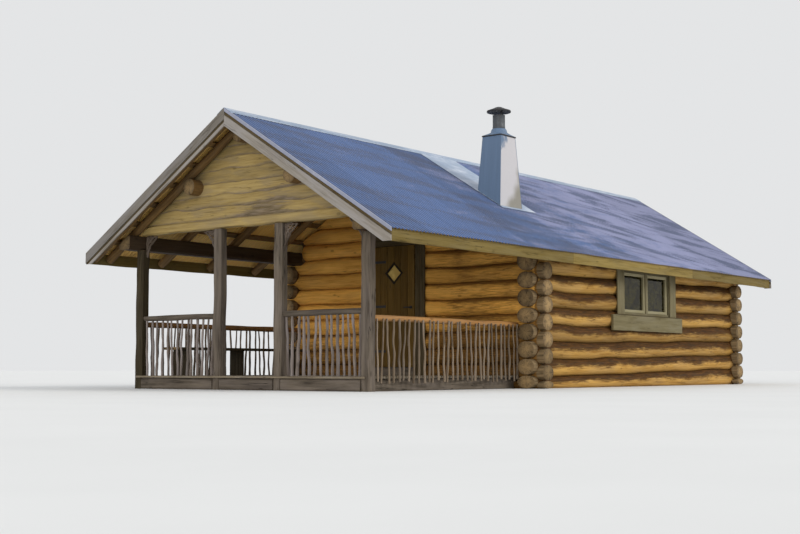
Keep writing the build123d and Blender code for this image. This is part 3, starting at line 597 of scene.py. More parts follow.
fascia_wood = wood("fascia_wood", (0.225, 0.162, 0.046), (0.12, 0.082, 0.021), (0.21, 0.168, 0.078), knots=0.3)
door_wood = wood("door_wood", (0.140, 0.079, 0.014), (0.076, 0.041, 0.007), (0.128, 0.082, 0.024), 0.3,
                 knots=0.4, cracks=0.5)
trim_wood = wood("trim_wood", (0.105, 0.075, 0.032), (0.052, 0.035, 0.014), (0.12, 0.095, 0.058), 0.45)
paint_wood = wood("window_paint", (0.150, 0.126, 0.064), (0.090, 0.073, 0.035), (0.17, 0.15, 0.095), 0.5,
                  knots=0.15, cracks=0.4, bump=0.25, fine=22.0)
sash_wood = wood("sash_paint", (0.36, 0.32, 0.19), (0.23, 0.20, 0.11), (0.40, 0.36, 0.24), 0.5,
                 knots=0.1, cracks=0.3, bump=0.2, fine=30.0)
# Roof paint: the dark colour is painted tree shadow in aslant bands, the valley setting paints shade in the valleys
# and a highlight on the crests, and the worn colour towards the rear is worn paint with painted sheen.
roof_paint = sheet_metal("roof_paint", (0.054, 0.104, 0.235), (0.245, 0.255, 0.385), 0.85, 0.12, (0.50, 0.68),
                         stretch=(0.55, 2.4, 0.0), dark=(0.050, 0.068, 0.125), sheen_and_wear_weight=0.42, sheen_and_wear_from=0.62,
                         valley_shade=0.85, streaks=0.6)
# The underside's strong golden colour is partly the bare metal and partly painted warm light bounced up from the
# ground.
sheet_under = sheet_metal("sheet_underside", (0.80, 0.50, 0.14), (0.62, 0.42, 0.17), 0.5, 0.35, (0.4, 0.6),
                          stretch=(0.8, 1.7, 0.0))
cap_paint = sheet_metal("cap_paint", (0.25, 0.32, 0.43), (0.60, 0.62, 0.68), 0.8, 0.12,
                        stretch=(1.1, 3.0, 3.0), sheen_and_wear_from=0.5)
# The verge strip's light colour is partly its paint and partly a painted highlight along the lit edge.
verge_paint = sheet_metal("verge_paint", (0.24, 0.255, 0.33), (0.40, 0.40, 0.47), 0.6, 0.1,
                          stretch=(1.5, 4.0, 4.0), sheen_and_wear_from=0.5)
# The stack paint's light worn colour is mostly the painted highlight on the near side.
stack_paint = sheet_metal("stack_paint", (0.112, 0.172, 0.268), (0.52, 0.50, 0.51), 0.95, 0.15, (0.40, 0.60),
                          stretch=(3.0, 3.0, 1.4), sheen_and_wear_weight=0.75, sheen_and_wear_from=0.74)
black_iron = iron("black_iron", (0.022, 0.023, 0.026), (0.06, 0.035, 0.022))
flue_iron = iron("flue_iron", (0.060, 0.067, 0.075), (0.085, 0.058, 0.040), 0.4)
bolt_iron = iron("bolt_iron", (0.20, 0.22, 0.26), (0.16, 0.09, 0.05), 0.4)
black_wood = wood("black_wood", (0.022, 0.015, 0.008), (0.010, 0.007, 0.004), (0.03, 0.022, 0.014), 0.3)
pane_glass = glass("pane_glass", (0.15, 0.13, 0.022), (0.022, 0.017, 0.005), 0.9)
# The diamond light is nearly opaque, light tan glass: its brightness in the shaded door is painted light showing
# through it.
diamond_glass = glass("diamond_glass", (0.74, 0.55, 0.19), (0.60, 0.42, 0.13), 0.08)

# Log walls

CROSS_SHIFT = -0.042
LOG_POINTS = 24
# Where the shade climbs from a log's own value to BLEACHED at a crossing it passes 1, so the log is darkest there:
# a band of dirt and painted shadow.
BLEACHED = 1.9
# Beyond this distance from a wall's axis the crossing logs' ends are free and bleached
FREE_FROM = 0.16


def seam_shift(x):
    """How far the real seams run below or above the even courses along the long walls."""
    return limited(-0.03 + 0.02 * (x - 1.55), -0.07, 0.03)


def cross_seam(course):
    """Height of the lower seam of a course in the front and rear walls."""
    if course == 0:
        return 0.0
    return course * PITCH - PITCH / 2 + CROSS_SHIFT * min(course, 3) / 3


def porch_painted_shade(y, z):
    """Painted shade of the sheltered wall: darker behind the railing and on the near side, which lie in shadow."""
    return max(0.0, 0.80 * (1.2 - z)) + 0.40 * limited(-y - 0.2)


def log(shape, axis, place, low, high, start, stop, materials, split, trim, free_ends, sheltered_shade=None):
    """One wall log between two seams. An opening splits it, or trims it to a height along its width."""
    rng = shape.rng
    tone = rng.random()
    offset = rng.uniform(0, 40)
    parity = rng.choice((-1, 1))
    humps = [(rng.uniform(1.5, 7), rng.choice((1, 2, 3)), rng.uniform(0, 6.3)) for _ in range(4)]
    belly = waves(rng, 0.004, 1.6)
    stain = waves(rng, 0.10, 2.2, 4)
    for s0, s1 in ((start, split[0]), (split[1], stop)) if split else ((start, stop),):
        stations = list(np.linspace(s0, s1, max(3, int((s1 - s0) / 0.075))))
        if trim:
            for edge in trim[:2]:
                if s0 < edge < s1:
                    stations += [edge - 0.001, edge + 0.001]
            stations.sort()
        rows = []
        for s in stations:
            z0 = low(s)
            z1 = high(s)
            free = any(a <= s <= b for a, b in free_ends)
            half = (z1 - z0) / 2 - 0.0006
            half *= 0.93 if free else 1.0
            reach = HALF_DEPTH + belly(s) + parity * 0.007 * ((s - start) / (stop - start) - 0.5)
            row = []
            for i in range(LOG_POINTS):
                angle = 2 * math.pi * (i + 0.5) / LOG_POINTS
                up = limited(math.sin(angle) * (1.02 if free else 1.11), -1.0)
                bump = sum(math.sin(k * s + m * angle + p) for k, m, p in humps) * 0.0012
                out = math.cos(angle) * (reach + bump)
                z = (z0 + z1) / 2 + up * half
                if trim and trim[0] < s < trim[1]:
                    z = trim[2](z, trim[3])
                # The upper half of an outer log is dark, settled dirt and painted shade, and its belly is clean. A
                # sheltered log is darker only along its upper edge at the groove and where its shade function adds:
                # painted shade.
                if free:
                    shade = BLEACHED
                elif sheltered_shade:
                    shade = limited(0.06 + 0.8 * max(0.0, up - 0.35) + 0.5 * stain(s) + sheltered_shade(s, z))
                else:
                    shade = limited(0.54 + 0.85 * up + stain(s))
                point = (s, place + out, z) if axis == "x" else (place - out, s, z)
                row.append((point, (s + offset, out, up * half), shade))
            rows.append(row)
        shape.loft(rows, tone, *materials, bevel=0.012)


def side_wall(name, side, seed):
    """All logs of one long wall, cut around the window."""
    shape = Shape(seed)
    lines = [waves(shape.rng, 0.009, 2.6) for _ in range(COURSES + 1)]
    ends = ((near_low[0] - 1, FRONT_X - FREE_FROM), (REAR_X + FREE_FROM, near_high[0] + 1))
    x0, x1 = window_low[0], window_high[0]

    def seam(number):
        if number in (0, COURSES):
            return lambda x: WALL_TOP if number else 0.0
        return lambda x: number * PITCH + seam_shift(x) + lines[number](x)

    for course in range(COURSES):
        low, high = seam(course), seam(course + 1)
        z0, z1 = low((x0 + x1) / 2), high((x0 + x1) / 2)
        split = trim = None
        if z1 > window_low[2] + 0.02 and z0 < window_high[2] - 0.02:
            if z0 < window_low[2] - 0.03:
                trim = (x0, x1, min, window_low[2])
            elif z1 > window_high[2] + 0.03:
                trim = (x0, x1, max, window_high[2])
            else:
                split = (x0, x1)
        log(shape, "x", side * WALL_Y, low, high, near_low[0], near_high[0], (0, 1), split, trim, ends)
    shape.make(name + "_logs", [wall_wood, log_end], "side_logs", replaces=(name,), sharp=50)


def cross_wall(x, seed, has_door):
    """All logs of the front or the rear wall, with the slanted gable logs above the plates."""
    shape = Shape(seed)
    top_course = 15
    lines = [waves(shape.rng, 0.008, 2.3) for _ in range(top_course + 2)]

    def seam(number):
        return lambda y: cross_seam(number) + lines[number](y) if number else 0.0

    for course in range(top_course + 1):
        low, high = seam(course), seam(course + 1)
        if course < COURSES:
            start, stop = sill_low[1], sill_high[1]
            ends = ((start - 1, -WALL_Y - FREE_FROM), (WALL_Y + FREE_FROM, stop + 1))
        else:
            top = roof_z(0, RAFTER_TOP)
            if low(0) > top - 0.03:
                break
            stop = WALL_Y - 0.04 if course == COURSES else min(PLATE_INNER, (top - low(0)) / SLOPE)
            start = -stop
            ends = ()
        split = trim = None
        if has_door and course > 0:
            lintel = frame_high[2]
            if high(0) < lintel + 0.03:
                split = (frame_low[1], frame_high[1])
            elif low(0) < lintel:
                trim = (frame_low[1], frame_high[1], max, lintel)
        first = len(shape.corners)
        log(shape, "y", x, low, high, start, stop, (2 if has_door else 0, 1), split, trim, ends,
            porch_painted_shade if has_door else None)
        if course >= COURSES:
            # Cut to the slope of the roof
            for i in range(first, len(shape.corners)):
                (px, py, pz), grain, shade = shape.corners[i]
                limit = max(roof_z(py, RAFTER_TOP) - 0.001, cross_seam(course) - 0.02)
                if abs(py) > PLATE_INNER:
                    limit = min(limit, WALL_TOP - 0.001)
                shape.corners[i] = ((px, py, min(pz, limit)), grain, shade)
    return shape


side_wall("near_wall", -1, 11)
side_wall("far_wall", 1, 12)
cross_wall(FRONT_X, 13, True).make(
    "front_wall_logs", [wall_wood, log_end, porch_lit_wood], "porch_logs",
    replaces=("front_sill_log", "front_wall_near", "front_wall_far", "front_gable_logs"), sharp=50,
)
cross_wall(REAR_X, 14, False).make(
    "rear_wall_logs", [wall_wood, log_end], "side_logs", replaces=("rear_wall",), sharp=50
)

# Floors


def board_rows(low, high, width):
    """The middles and the width of equal boards between low and high, about as wide as asked."""
    count = int((high - low) / width)
    width = (high - low) / count
    return [low + (row + 0.5) * width for row in range(count)], width


shape = Shape(21)
floor_low, floor_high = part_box("room_floor")
rows, width = board_rows(floor_low[1], floor_high[1], 0.142)
for y in rows:
    joint = floor_low[0] + shape.rng.uniform(2.0, 5.0)
    for x0, x1 in ((floor_low[0], joint - 0.001), (joint + 0.001, floor_high[0])):
        shape.bar((x0, y, 0.315), (x1, y, 0.315), rectangle(width - 0.003, 0.03), step=0.8, rough=0.0005)
shape.make("room_floor_boards", [floor_wood], "floor_boards", replaces=("room_floor",))

shape = Shape(22)
sleeper_low, sleeper_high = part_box("room_sleepers")
for number in range(6):
    x = sleeper_low[0] + 0.055 + number * (sleeper_high[0] - sleeper_low[0] - 0.11) / 5
    z = sleeper_high[2] / 2
    shape.bar((x, sleeper_low[1], z), (x, sleeper_high[1], z), rectangle(0.11, sleeper_high[2] - 0.001, 0.012),
              step=0.3, rough=0.002)
shape.make("sleepers", [roof_wood], "roof_timber", replaces=("room_sleepers",))

shape = Shape(23)
deck_low, deck_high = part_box("porch_deck")
rows, width = board_rows(deck_low[0], deck_high[0], 0.135)
for x in rows:
    half = deck_high[1] - shape.rng.uniform(0.0, 0.012)
    z = DECK_TOP - 0.0155
    shape.bar((x, -half, z), (x, half, z), rectangle(width - 0.007, 0.029, 0.004, 1), step=0.35, rough=0.001,
              shade_ends=0.3)
shape.make("deck_boards", [deck_wood], "deck_boards", replaces=("porch_deck",))

shape = Shape(24)
beam_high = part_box("porch_floor_beams")[1]
z = beam_high[2] / 2
outer = POST_Y - 0.105
for number in range(5):
    y = -outer + number * outer / 2
    shape.bar((POST_X + POST_HALF + 0.001, y, z), (beam_high[0], y, z), rectangle(0.1, beam_high[2] - 0.001, 0.01),
              step=0.3, rough=0.002)
for left, right in zip(POST_PLACES[:-1], POST_PLACES[1:]):
    shape.bar((POST_X, left + POST_HALF + 0.001, z), (POST_X, right - POST_HALF - 0.001, z),
              rectangle(2 * POST_HALF, beam_high[2] - 0.001, 0.02, 1), step=0.2, rough=0.004)
shape.make("porch_beams", [silver_wood], "grey_timber", replaces=("porch_floor_beams",))

# Roof timbers


def under_rafters(p):
    """Keeps a point below the rafters."""
    return (p[0], p[1], min(p[2], roof_z(p[1], RAFTER_FOOT) - 0.001))


shape = Shape(31)
z = middle(plate_low, plate_high, 2)
for side in (-1, 1):
    y = side * (PLATE_INNER + plate_high[1]) / 2
    section = rectangle(plate_high[1] - PLATE_INNER - 0.006, plate_high[2] - plate_low[2] - 0.004, 0.03, 1)
    # Tone nought and the nearly black plate wood: painted shade.
    shape.bar((plate_low[0], y, z), (plate_high[0], y, z), section, tone=0.0, step=0.15, rough=0.003, end=1,
              clamp=under_rafters)
shape.make("plates", [shaded_plate_wood, log_end], "roof_timber", replaces=("wall_plates",))

shape = Shape(32)
purlin_low, purlin_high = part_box("roof_purlins")
for y, radius in ((-1.02, 0.12), (1.02, 0.12), (0.0, 0.1)):
    z = roof_z(y, RAFTER_FOOT) - radius * STRETCH - 0.001
    sway = waves(shape.rng, 0.004, 4.0)
    shape.bar((purlin_low[0], y, z), (purlin_high[0], y, z), circle(radius - 0.004, 20), step=0.16, rough=0.006,
              end=1, bevel=0.01, bend=lambda t: (sway(12 * t), 0.0), taper=lambda t: 1.02 - 0.05 * t)
shape.make("purlins", [roof_wood, log_end], "roof_timber", replaces=("roof_purlins",))

shape = Shape(33)
rafter_xs = [SHEET_X0 + RAFTER_DIAMETER / 2]
x = POST_X - 0.04 - SEAT_GAP - RAFTER_DIAMETER / 2
while x < REAR_X - HALF_DEPTH - RAFTER_DIAMETER / 2:
    rafter_xs.append(x)
    x += 1.08
rafter_xs.append(SHEET_X1 - RAFTER_DIAMETER / 2)
depth = RAFTER_TOP + RAFTER_DIAMETER / 2 + 0.001
for side in (-1, 1):
    y0 = side * 0.045
    y1 = side * (RAFTER_END - 0.042)
    for x in rafter_xs:
        sway = waves(shape.rng, 0.006, 2.5)
        shape.bar((x, y0, roof_z(y0, depth)), (x, y1, roof_z(y1, depth)), circle(RAFTER_DIAMETER / 2 - 0.004, 14),
                  up=slope_up(side), step=0.14, rough=0.006, end=1, bend=lambda t: (sway(3 * t) * arch(t), 0.0),
                  taper=lambda t: 0.9 + 0.11 * t)
shape.make("rafter_poles", [roof_wood, log_end], "roof_timber", replaces=("rafters",))

shape = Shape(34)
for side in (-1, 1):
    position = BATTEN_FIRST
    while position < RAFTER_END - 2 * BATTEN_HALF:
        y = side * (position + BATTEN_HALF * SLOPE_COS)
        z = roof_z(y, SHEET_DEPTH + BATTEN_DEPTH / 2)
        x = SHEET_X0
        while x < SHEET_X1 - 0.01:
            stop = min(x + shape.rng.uniform(3.0, 4.4), SHEET_X1)
            if SHEET_X1 - stop < 0.6:
                stop = SHEET_X1
            shape.bar((x, y, z), (stop - 0.002, y, z), rectangle(0.093, 0.043, 0.004), up=slope_up(side), step=0.8,
                      rough=0.001)
            x = stop
        position += BATTEN_STEP
shape.make("roof_battens", [roof_wood], "roof_timber", replaces=("battens",))

# Roof sheets


def corrugated(name, side, seed):
    """Corrugated sheets laid side by side from the ridge to the eave, with their screws."""
    shape = Shape(seed)
    rng = shape.rng
    pitch = 0.076
    depth = SHEET_DEPTH / 2 - 0.0012
    waves_per_sheet = 11
    points_per_wave = 8
    thickness = 0.0016
    rows = [0.004, 0.5, 1.0, 1.5, 2.0, 2.5, EAVE_Y - 0.02, EAVE_Y - 0.001]
    last = len(rows) - 1
    x = SHEET_X0
    while x < SHEET_X1 - 0.02:
        stop = min(x + waves_per_sheet * pitch, SHEET_X1)
        count = max(2, int(round((stop - x) / pitch * points_per_wave)))
        tone = rng.random()
        lift = rng.uniform(0, 0.0008)
        cut = rng.uniform(0.0, 0.010)
        sag = waves(rng, 0.0006, 1.2)
        corners = []
        for drop in (0.0, thickness):
            for row in rows:
                y = min(row, EAVE_Y - cut - 0.001)
                for i in range(count + 1):
                    px = x + (stop - x) * i / count
                    wave = math.cos(2 * math.pi * (px - SHEET_X0) / pitch)
                    low = depth * (1 - wave) + 0.0006 + lift + abs(sag(y)) + drop
                    # The shade rises towards the rear, where the sheets take more of the light worn colour: worn
                    # paint and painted sheen.
                    corners.append(((px, side * y, roof_z(y, low)), (px, side * y * STRETCH, wave),
                                    0.5 + 0.5 * limited(px / 5.0, -1.0)))
        size = count + 1
        level = size * len(rows)
        faces = []
        slots = []
        for r in range(last):
            for a in range(r * size, r * size + count):
                top = (a, a + 1, a + size + 1, a + size)
                faces += [top, tuple(level + v for v in top[::-1])]
                slots += [0, 2]
        rims = [(a, a + 1) for i in range(count) for a in (i, last * size + i)]
        rims += [(a, a + size) for r in range(last) for a in (r * size, r * size + count)]
        faces += [(a, b, level + b, level + a) for a, b in rims]
        shape.add(corners, faces, tone, slots + [0] * len(rims))
        x = stop
    position = BATTEN_FIRST + BATTEN_HALF * SLOPE_COS
    while position < RAFTER_END - 0.05:
        if position > 0.2:
            number = 0
            while SHEET_X0 + number * 3 * pitch < SHEET_X1 - 0.02:
                px = SHEET_X0 + number * 3 * pitch
                y = side * (position + rng.uniform(-0.008, 0.008))
                z = roof_z(y, 0.001)
                top = (px, y + side * SLOPE_SIN * 0.002, z + SLOPE_COS * 0.0004)
                shape.bar((px, y, z - 0.002), top, circle(0.008, 8), up=(1, 0, 0), tone=0.4, side=1, end=1,
                          bevel=0.001)
                number += 1
        position += BATTEN_STEP
    shape.make(name + "_corrugated", [roof_paint, bolt_iron, sheet_under], "roof_metal", replaces=(name,), sharp=60)


corrugated("near_roof_sheets", -1, 41)
corrugated("far_roof_sheets", 1, 42)

shape = Shape(43)
wing = cap_high[1]
cap_top = ((-wing, -0.001), (-wing + 0.012, 0.0035), (-0.03, 0.0035), (-0.012, 0.002), (0.0, 0.0005),
           (0.012, 0.002), (0.03, 0.0035), (wing - 0.012, 0.0035), (wing, -0.001))
cap_foot = ((wing - 0.001, -0.0025), (wing - 0.013, 0.0015), (0.03, 0.0015), (0.0, -0.002), (-0.03, 0.0015),
            (-wing + 0.013, 0.0015), (-wing + 0.001, -0.0025))
x = ROOF_X0
while x < ROOF_X1 - 0.01:
    stop = min(x + 2.07, ROOF_X1)
    tone = shape.rng.random()
    offset = shape.rng.uniform(0, 9)
    lift = 0.0006 * (len(shape.faces) % 2)
    outline = [(y, roof_z(y, -up - lift)) for y, up in cap_top] + [(y, roof_z(y, -up)) for y, up in cap_foot]
    rows = [[((px, y, z), (px + offset, y * 3, z), 0.0) for y, z in outline] for px in np.linspace(x, stop, 8)]
    shape.loft(rows, tone, bevel=0.0002)
    x = stop
for side in (-1, 1):
    x = ROOF_X0 + 0.12
    while x < ROOF_X1:
        y = side * (wing - 0.035)
        z = roof_z(y, -0.003)
        shape.bar((x, y, z), (x, y + side * 0.001, z + 0.003), circle(0.009, 8), up=(1, 0, 0), side=1, end=1,
                  bevel=0.001, tone=0.5)
        x += 0.456
shape.make("ridge_capping", [cap_paint, bolt_iron], "cap_metal", replaces=("ridge_cap",))

# Boards along the edges of the roof

FASCIA_BOTTOM = fascia_low[2]


def verge_board(shape, outer_x, inner_x, side, upper, lower, slot, rough=0.0):
    """A board along one verge between two depths, its foot cut level."""
    wobble = waves(shape.rng, rough, 1.1)
    count = 16
    ys = [0.0006 + (EAVE_Y - 0.0012) * i / count for i in range(count + 1)]
    outline = [(y, roof_z(y, upper)) for y in ys]
    outline += [(ys[i], roof_z(ys[i], lower + wobble(ys[i]) * (0 < i < count))) for i in range(count, -1, -1)]
    level = FASCIA_BOTTOM + 0.0005
    flat = []
    for (y0, z0), (y1, z1) in zip(outline, outline[1:] + outline[:1]):
        if z0 >= level:
            flat.append((y0, z0))
        if (z0 >= level) != (z1 >= level):
            flat.append((y0 + (y1 - y0) * ((level - z0) / (z1 - z0)), level))
    shape.plate(flat, lambda y, z, x: (x, side * y, z), outer_x, inner_x, side=slot, end=slot,
                grain_turn=-ROOF_ANGLE)


# Offset inward from the verge, upper and lower depth, slot and roughness of each board
# Slot 1 is a recessed strip of dark trim wood: painted shadow in the groove under the edge above it.
FAR_FRONT_VERGE = ((0.001, 0.003, 0.140, 0, 0.002), (0.014, 0.141, 0.176, 1, 0.0), (0.004, 0.177, 0.224, 0, 0.002))
OTHER_VERGES = ((0.0005, 0.0005, 0.046, 2, 0.0), (0.016, 0.047, 0.088, 1, 0.0), (0.002, 0.089, 0.224, 0, 0.002))
shape = Shape(51)
for outer_x, way in ((ROOF_X0, 1), (ROOF_X1, -1)):
    for side in (-1, 1):
        boards = FAR_FRONT_VERGE if outer_x < 0 < side else OTHER_VERGES
        for offset, upper, lower, slot, rough in boards:
            verge_board(shape, outer_x + way * offset, outer_x + way * 0.025, side, upper, lower, slot, rough)
shape.make("verge_boards", [barge_wood, trim_wood, verge_paint], "barge_boards", replaces=("bargeboards",))

shape = Shape(52)
for side in (-1, 1):
    x = fascia_low[0]
    while x < fascia_high[0] - 0.01:
        stop = min(x + shape.rng.uniform(3.6, 4.6), fascia_high[0])
        if fascia_high[0] - stop < 0.8:
            stop = fascia_high[0]
        lower = waves(shape.rng, 0.0025, 1.4)
        count = int((stop - x) / 0.2) + 2
        xs = [x + 0.0005 + (stop - x - 0.002) * i / count for i in range(count + 1)]
        outline = [(px, FASCIA_BOTTOM + 0.003 + lower(px)) for px in xs]
        outline += [(px, roof_z(fascia_high[1], SHEET_DEPTH) - 0.001) for px in xs[::-1]]
        shape.plate(outline, lambda px, pz, w: (px, side * w, pz), fascia_high[1] - 0.0005, fascia_high[1] - 0.0245)
        x = stop
shape.make("fascia_boards", [fascia_wood], "fascia_boards", replaces=("eave_fascias",))

# Porch front

shape = Shape(61)
for number, y in enumerate(POST_PLACES):
    top = plate_low[2] - 0.0005 if number in (0, 3) else tie_low[2] - 0.0005
    sway = waves(shape.rng, 0.003, 1.4)
    # The tones set each post's brightness and the far post takes the dark post wood: painted shade, deepest on the
    # far post.
    shape.bar((POST_X, y, 0.0), (POST_X, y, top), rectangle(2 * POST_HALF - 0.006, 2 * POST_HALF - 0.006, 0.022, 2),
              up=(0, 1, 0), step=0.09, rough=0.0035, end=1,
              bend=lambda t: (sway(2.3 * t), sway(2.3 * t + 1)), shade_ends=0.5, tone=(0.6, 0.85, 0.5, 0.3)[number],
              side=2 if number == 3 else 0)
shape.make("posts", [silver_wood, log_end, dark_post], "grey_timber", replaces=("porch_posts",))

shape = Shape(62)
wave_low = waves(shape.rng, 0.012, 1.3)


def tie_clamp(p):
    """Keeps a point of the tie below the rafters and over its wavy lower edge."""
    limit = roof_z(p[1], RAFTER_FOOT) - 0.001
    low = tie_low[2] + 0.0005 + max(0.0, wave_low(p[1]))
    return (p[0], p[1], max(min(p[2], limit), min(low, limit - 0.01)))


z = tie_low[2] + 0.07
shape.bar((POST_X, tie_low[1], z), (POST_X, tie_high[1], z), rectangle(0.138, 0.139, 0.022, 2), step=0.08,
          rough=0.003, end=1, clamp=tie_clamp)
shape.make("tie_timber", [gable_wood, log_end], "gable_boards", replaces=("tie_beam",))

# Waney boards of the porch gable, each lapping over the one below
shape = Shape(63)
gable_low, gable_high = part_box("porch_gable")
# Where a board's section runs: part of its height, and depth from its face
BOARD_SECTION = ((0.0, 0.003), (0.04, 0.0), (0.3, 0.004), (0.55, 0.008), (0.8, 0.012), (1.0, 0.016), (1.0, 0.036),
                 (0.5, 0.030), (0.0, 0.024))


def gable_limit(y):
    """The underside of the battens over the gable."""
    return roof_z(y, RAFTER_TOP) - 0.001


def grey_patch(y, z):
    """How grey the boards are: a weathered patch low in the middle and a weaker one beside it."""
    patch = math.exp(-((y + 0.36) / 0.55) ** 2 - ((z - 2.58) / 0.13) ** 2)
    other = 0.4 * math.exp(-((y + 0.7) / 0.5) ** 2 - ((z - 2.82) / 0.16) ** 2)
    return patch + other


z = gable_low[2]
lower_edge = None
rng = shape.rng
while z < gable_high[2] - 0.03:
    height = rng.uniform(0.155, 0.215)
    if gable_high[2] - (z + height) < 0.10:
        height = gable_high[2] - z
    half = min(gable_high[1], (gable_limit(0) - z) / SLOPE)
    offset = rng.uniform(0, 40)
    rows = []
    for y in np.linspace(-half, half, max(6, int(half / 0.035))):
        low = z + (lower_edge(y) if lower_edge else 0.0)
        high = max(low + 0.002, min(z + height + 0.03, gable_limit(y)))
        low = min(low, gable_limit(y) - 0.001)
        row = []
        for part, x in BOARD_SECTION:
            level = low + (high - low) * part
            # The lower edge of each board's face and the front of its underside are darker: painted shade along the
            # lap.
            shade = grey_patch(y, level) + (0.6 if part < 0.05 and x < 0.02 else 0.0)
            row.append(((gable_low[0] + 0.0006 + x, y, level), (y + offset, x, level - z), shade))
        rows.append(row)
    shape.loft(rows, rng.random(), bevel=0.002)
    lower_edge = waves(rng, 0.013, 1.3, 4)
    z += height
shape.make("gable_boarding", [gable_wood], "gable_boards", replaces=("porch_gable",))

# Railings

rail_low, rail_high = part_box("front_railings")
side_low, side_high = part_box("side_railings")
RAIL_RADIUS = (rail_high[0] - rail_low[0]) / 2


def stick(shape, foot, head, radius, side_axis):
    """A crooked stick from foot to head."""
    rng = shape.rng
    kink = waves(rng, 0.009, 0.9, 3)
    other = waves(rng, 0.004, 0.7, 2)
    lump = waves(rng, 0.08, 0.3, 3)
    shape.bar(foot, head, circle(radius, 9), up=side_axis, step=0.06, rough=0.0015, side=1, end=1, bevel=0.003,
              bend=lambda t: (other(t) * arch(t), kink(t) * arch(t)), taper=lambda t: 1.12 - 0.28 * t + lump(t))


shape = Shape(71)
z = rail_high[2] - RAIL_RADIUS
for left, right in (POST_PLACES[:2], POST_PLACES[2:]):
    y0 = left + POST_HALF + SEAT_GAP
    y1 = right - POST_HALF - SEAT_GAP
    sway = waves(shape.rng, 0.004, 1.2)
    shape.bar((POST_X, y0, z), (POST_X, y1, z), circle(RAIL_RADIUS - 0.003, 16), step=0.07, rough=0.004, end=2,
              tone=0.25, bend=lambda t: (0.0, sway(t) * arch(t)))
    count = 14
    step = (y1 - y0) / count
    for number in range(count):
        y = y0 + (number + 0.5) * step + shape.rng.uniform(-0.014, 0.014)
        lean = shape.rng.uniform(-0.022, 0.022)
        radius = shape.rng.uniform(0.016, 0.024)
        x = POST_X + shape.rng.uniform(-0.012, 0.012)
        stick(shape, (x, y - lean, DECK_TOP + 0.001), (x, y + lean, z - 0.005), radius, (0, 1, 0))
shape.make("front_rails", [silver_wood, stick_wood, log_end], "grey_timber", replaces=("front_railings",))

shape = Shape(72)
z = side_high[2] - RAIL_RADIUS
for side in (-1, 1):
    sway = waves(shape.rng, 0.006, 2.4)
    shape.bar((side_low[0], side * POST_Y, z), (side_high[0], side * POST_Y, z), circle(RAIL_RADIUS - 0.003, 16),
              step=0.09, rough=0.004, end=2, bend=lambda t: (0.0, sway(3 * t) * arch(t)))
    count = 31
    step = (side_high[0] - side_low[0]) / count
    for number in range(count):
        x = side_low[0] + (number + 0.5) * step + shape.rng.uniform(-0.018, 0.018)
        lean = shape.rng.uniform(-0.028, 0.028)
        x0, x1 = (min(max(v, side_low[0] + 0.02), side_high[0] - 0.02) for v in (x - lean, x + lean))
        radius = shape.rng.uniform(0.013, 0.018)
        y = side * (side_high[1] - 0.019)
        top = side_high[2] - shape.rng.uniform(0.040, 0.060)
        stick(shape, (x0, y, side_low[2] + shape.rng.uniform(0.0, 0.05)), (x1, y, top), radius, (1, 0, 0))
shape.make("side_rails", [rail_wood, brown_stick, log_end], "rail_wood", replaces=("side_railings",))

# Branch brackets: a fan of crooked twigs in the corner under the beam

bracket_low, bracket_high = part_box("post_brackets")
BRACKET_TOP = bracket_high[2] - 0.004
REACH = 0.262
DROP = bracket_high[2] - bracket_low[2] - 0.01


def twig(shape, face, way, start, stop, radius, bow):
    """A crooked twig between two (out, up) places in the corner of a post's face and the beam."""
    rng = shape.rng
    wiggle = waves(rng, 0.35 * radius, 0.5, 3)
    depth = waves(rng, 0.010, 0.8, 2)
    ends = [(POST_X, face + way * out, BRACKET_TOP + up) for out, up in (start, stop)]
    shape.bar(*ends, circle(radius, 8), up=(1, 0, 0), step=0.03, rough=0.002, bevel=0.002,
              tone=rng.uniform(0.3, 1.0), bend=lambda t: (bow * arch(t) * way + wiggle(t), depth(t)),
              taper=lambda t: 1.1 - 0.4 * t)


def bracket(shape, face, way):
    """One fan: two limbs, a twig along the beam and one along the post, and eight with side shoots."""
    rng = shape.rng
    for start, stop, radius, bow in (
        ((0.006, -DROP + 0.022), (REACH - 0.016, -0.018), 0.017, -0.034),
        ((0.010, -0.62 * DROP), (0.60 * REACH, -0.016), 0.012, -0.020),
        ((0.014, -0.020), (REACH - 0.022, -0.018), 0.013, 0.004),
        ((0.012, -0.020), (0.010, -DROP + 0.05), 0.012, 0.003),
    ):
        twig(shape, face, way, start, stop, radius, bow)
    count = 8
    for number in range(count):
        turn = (number + rng.uniform(0.15, 0.85)) / count * math.pi / 2
        cut = 0.80 / (math.sin(turn) + math.cos(turn)) + 0.08
        y = max(0.012, REACH * math.sin(turn) * cut)
        z = min(-0.018, -DROP * math.cos(turn) * cut)
        root = rng.uniform(0.05, 0.3)
        twig(shape, face, way, (y * root, z * root), (y, z), rng.uniform(0.007, 0.011), rng.uniform(-0.026, 0.026))
        for _ in range(3):
            share = rng.uniform(0.35, 0.85)
            swing = rng.uniform(-0.06, 0.06)
            tip_y = min(max(y * share + swing, 0.010), 0.94 * REACH)
            tip_z = max(min(z * share + swing * 1.1 - 0.012, -0.016), -0.94 * DROP)
            if tip_y / REACH - tip_z / DROP < 0.97:
                twig(shape, face, way, (y * share, z * share), (tip_y, tip_z), rng.uniform(0.005, 0.008),
                     rng.uniform(-0.02, 0.02))


shape = Shape(73)
for number, way in ((0, 1), (1, -1), (2, 1), (3, -1)):
    bracket(shape, POST_PLACES[number] + way * (POST_HALF + 0.001), way)
shape.make("branch_brackets", [twig_wood], "grey_timber", replaces=("post_brackets",))

# Bench

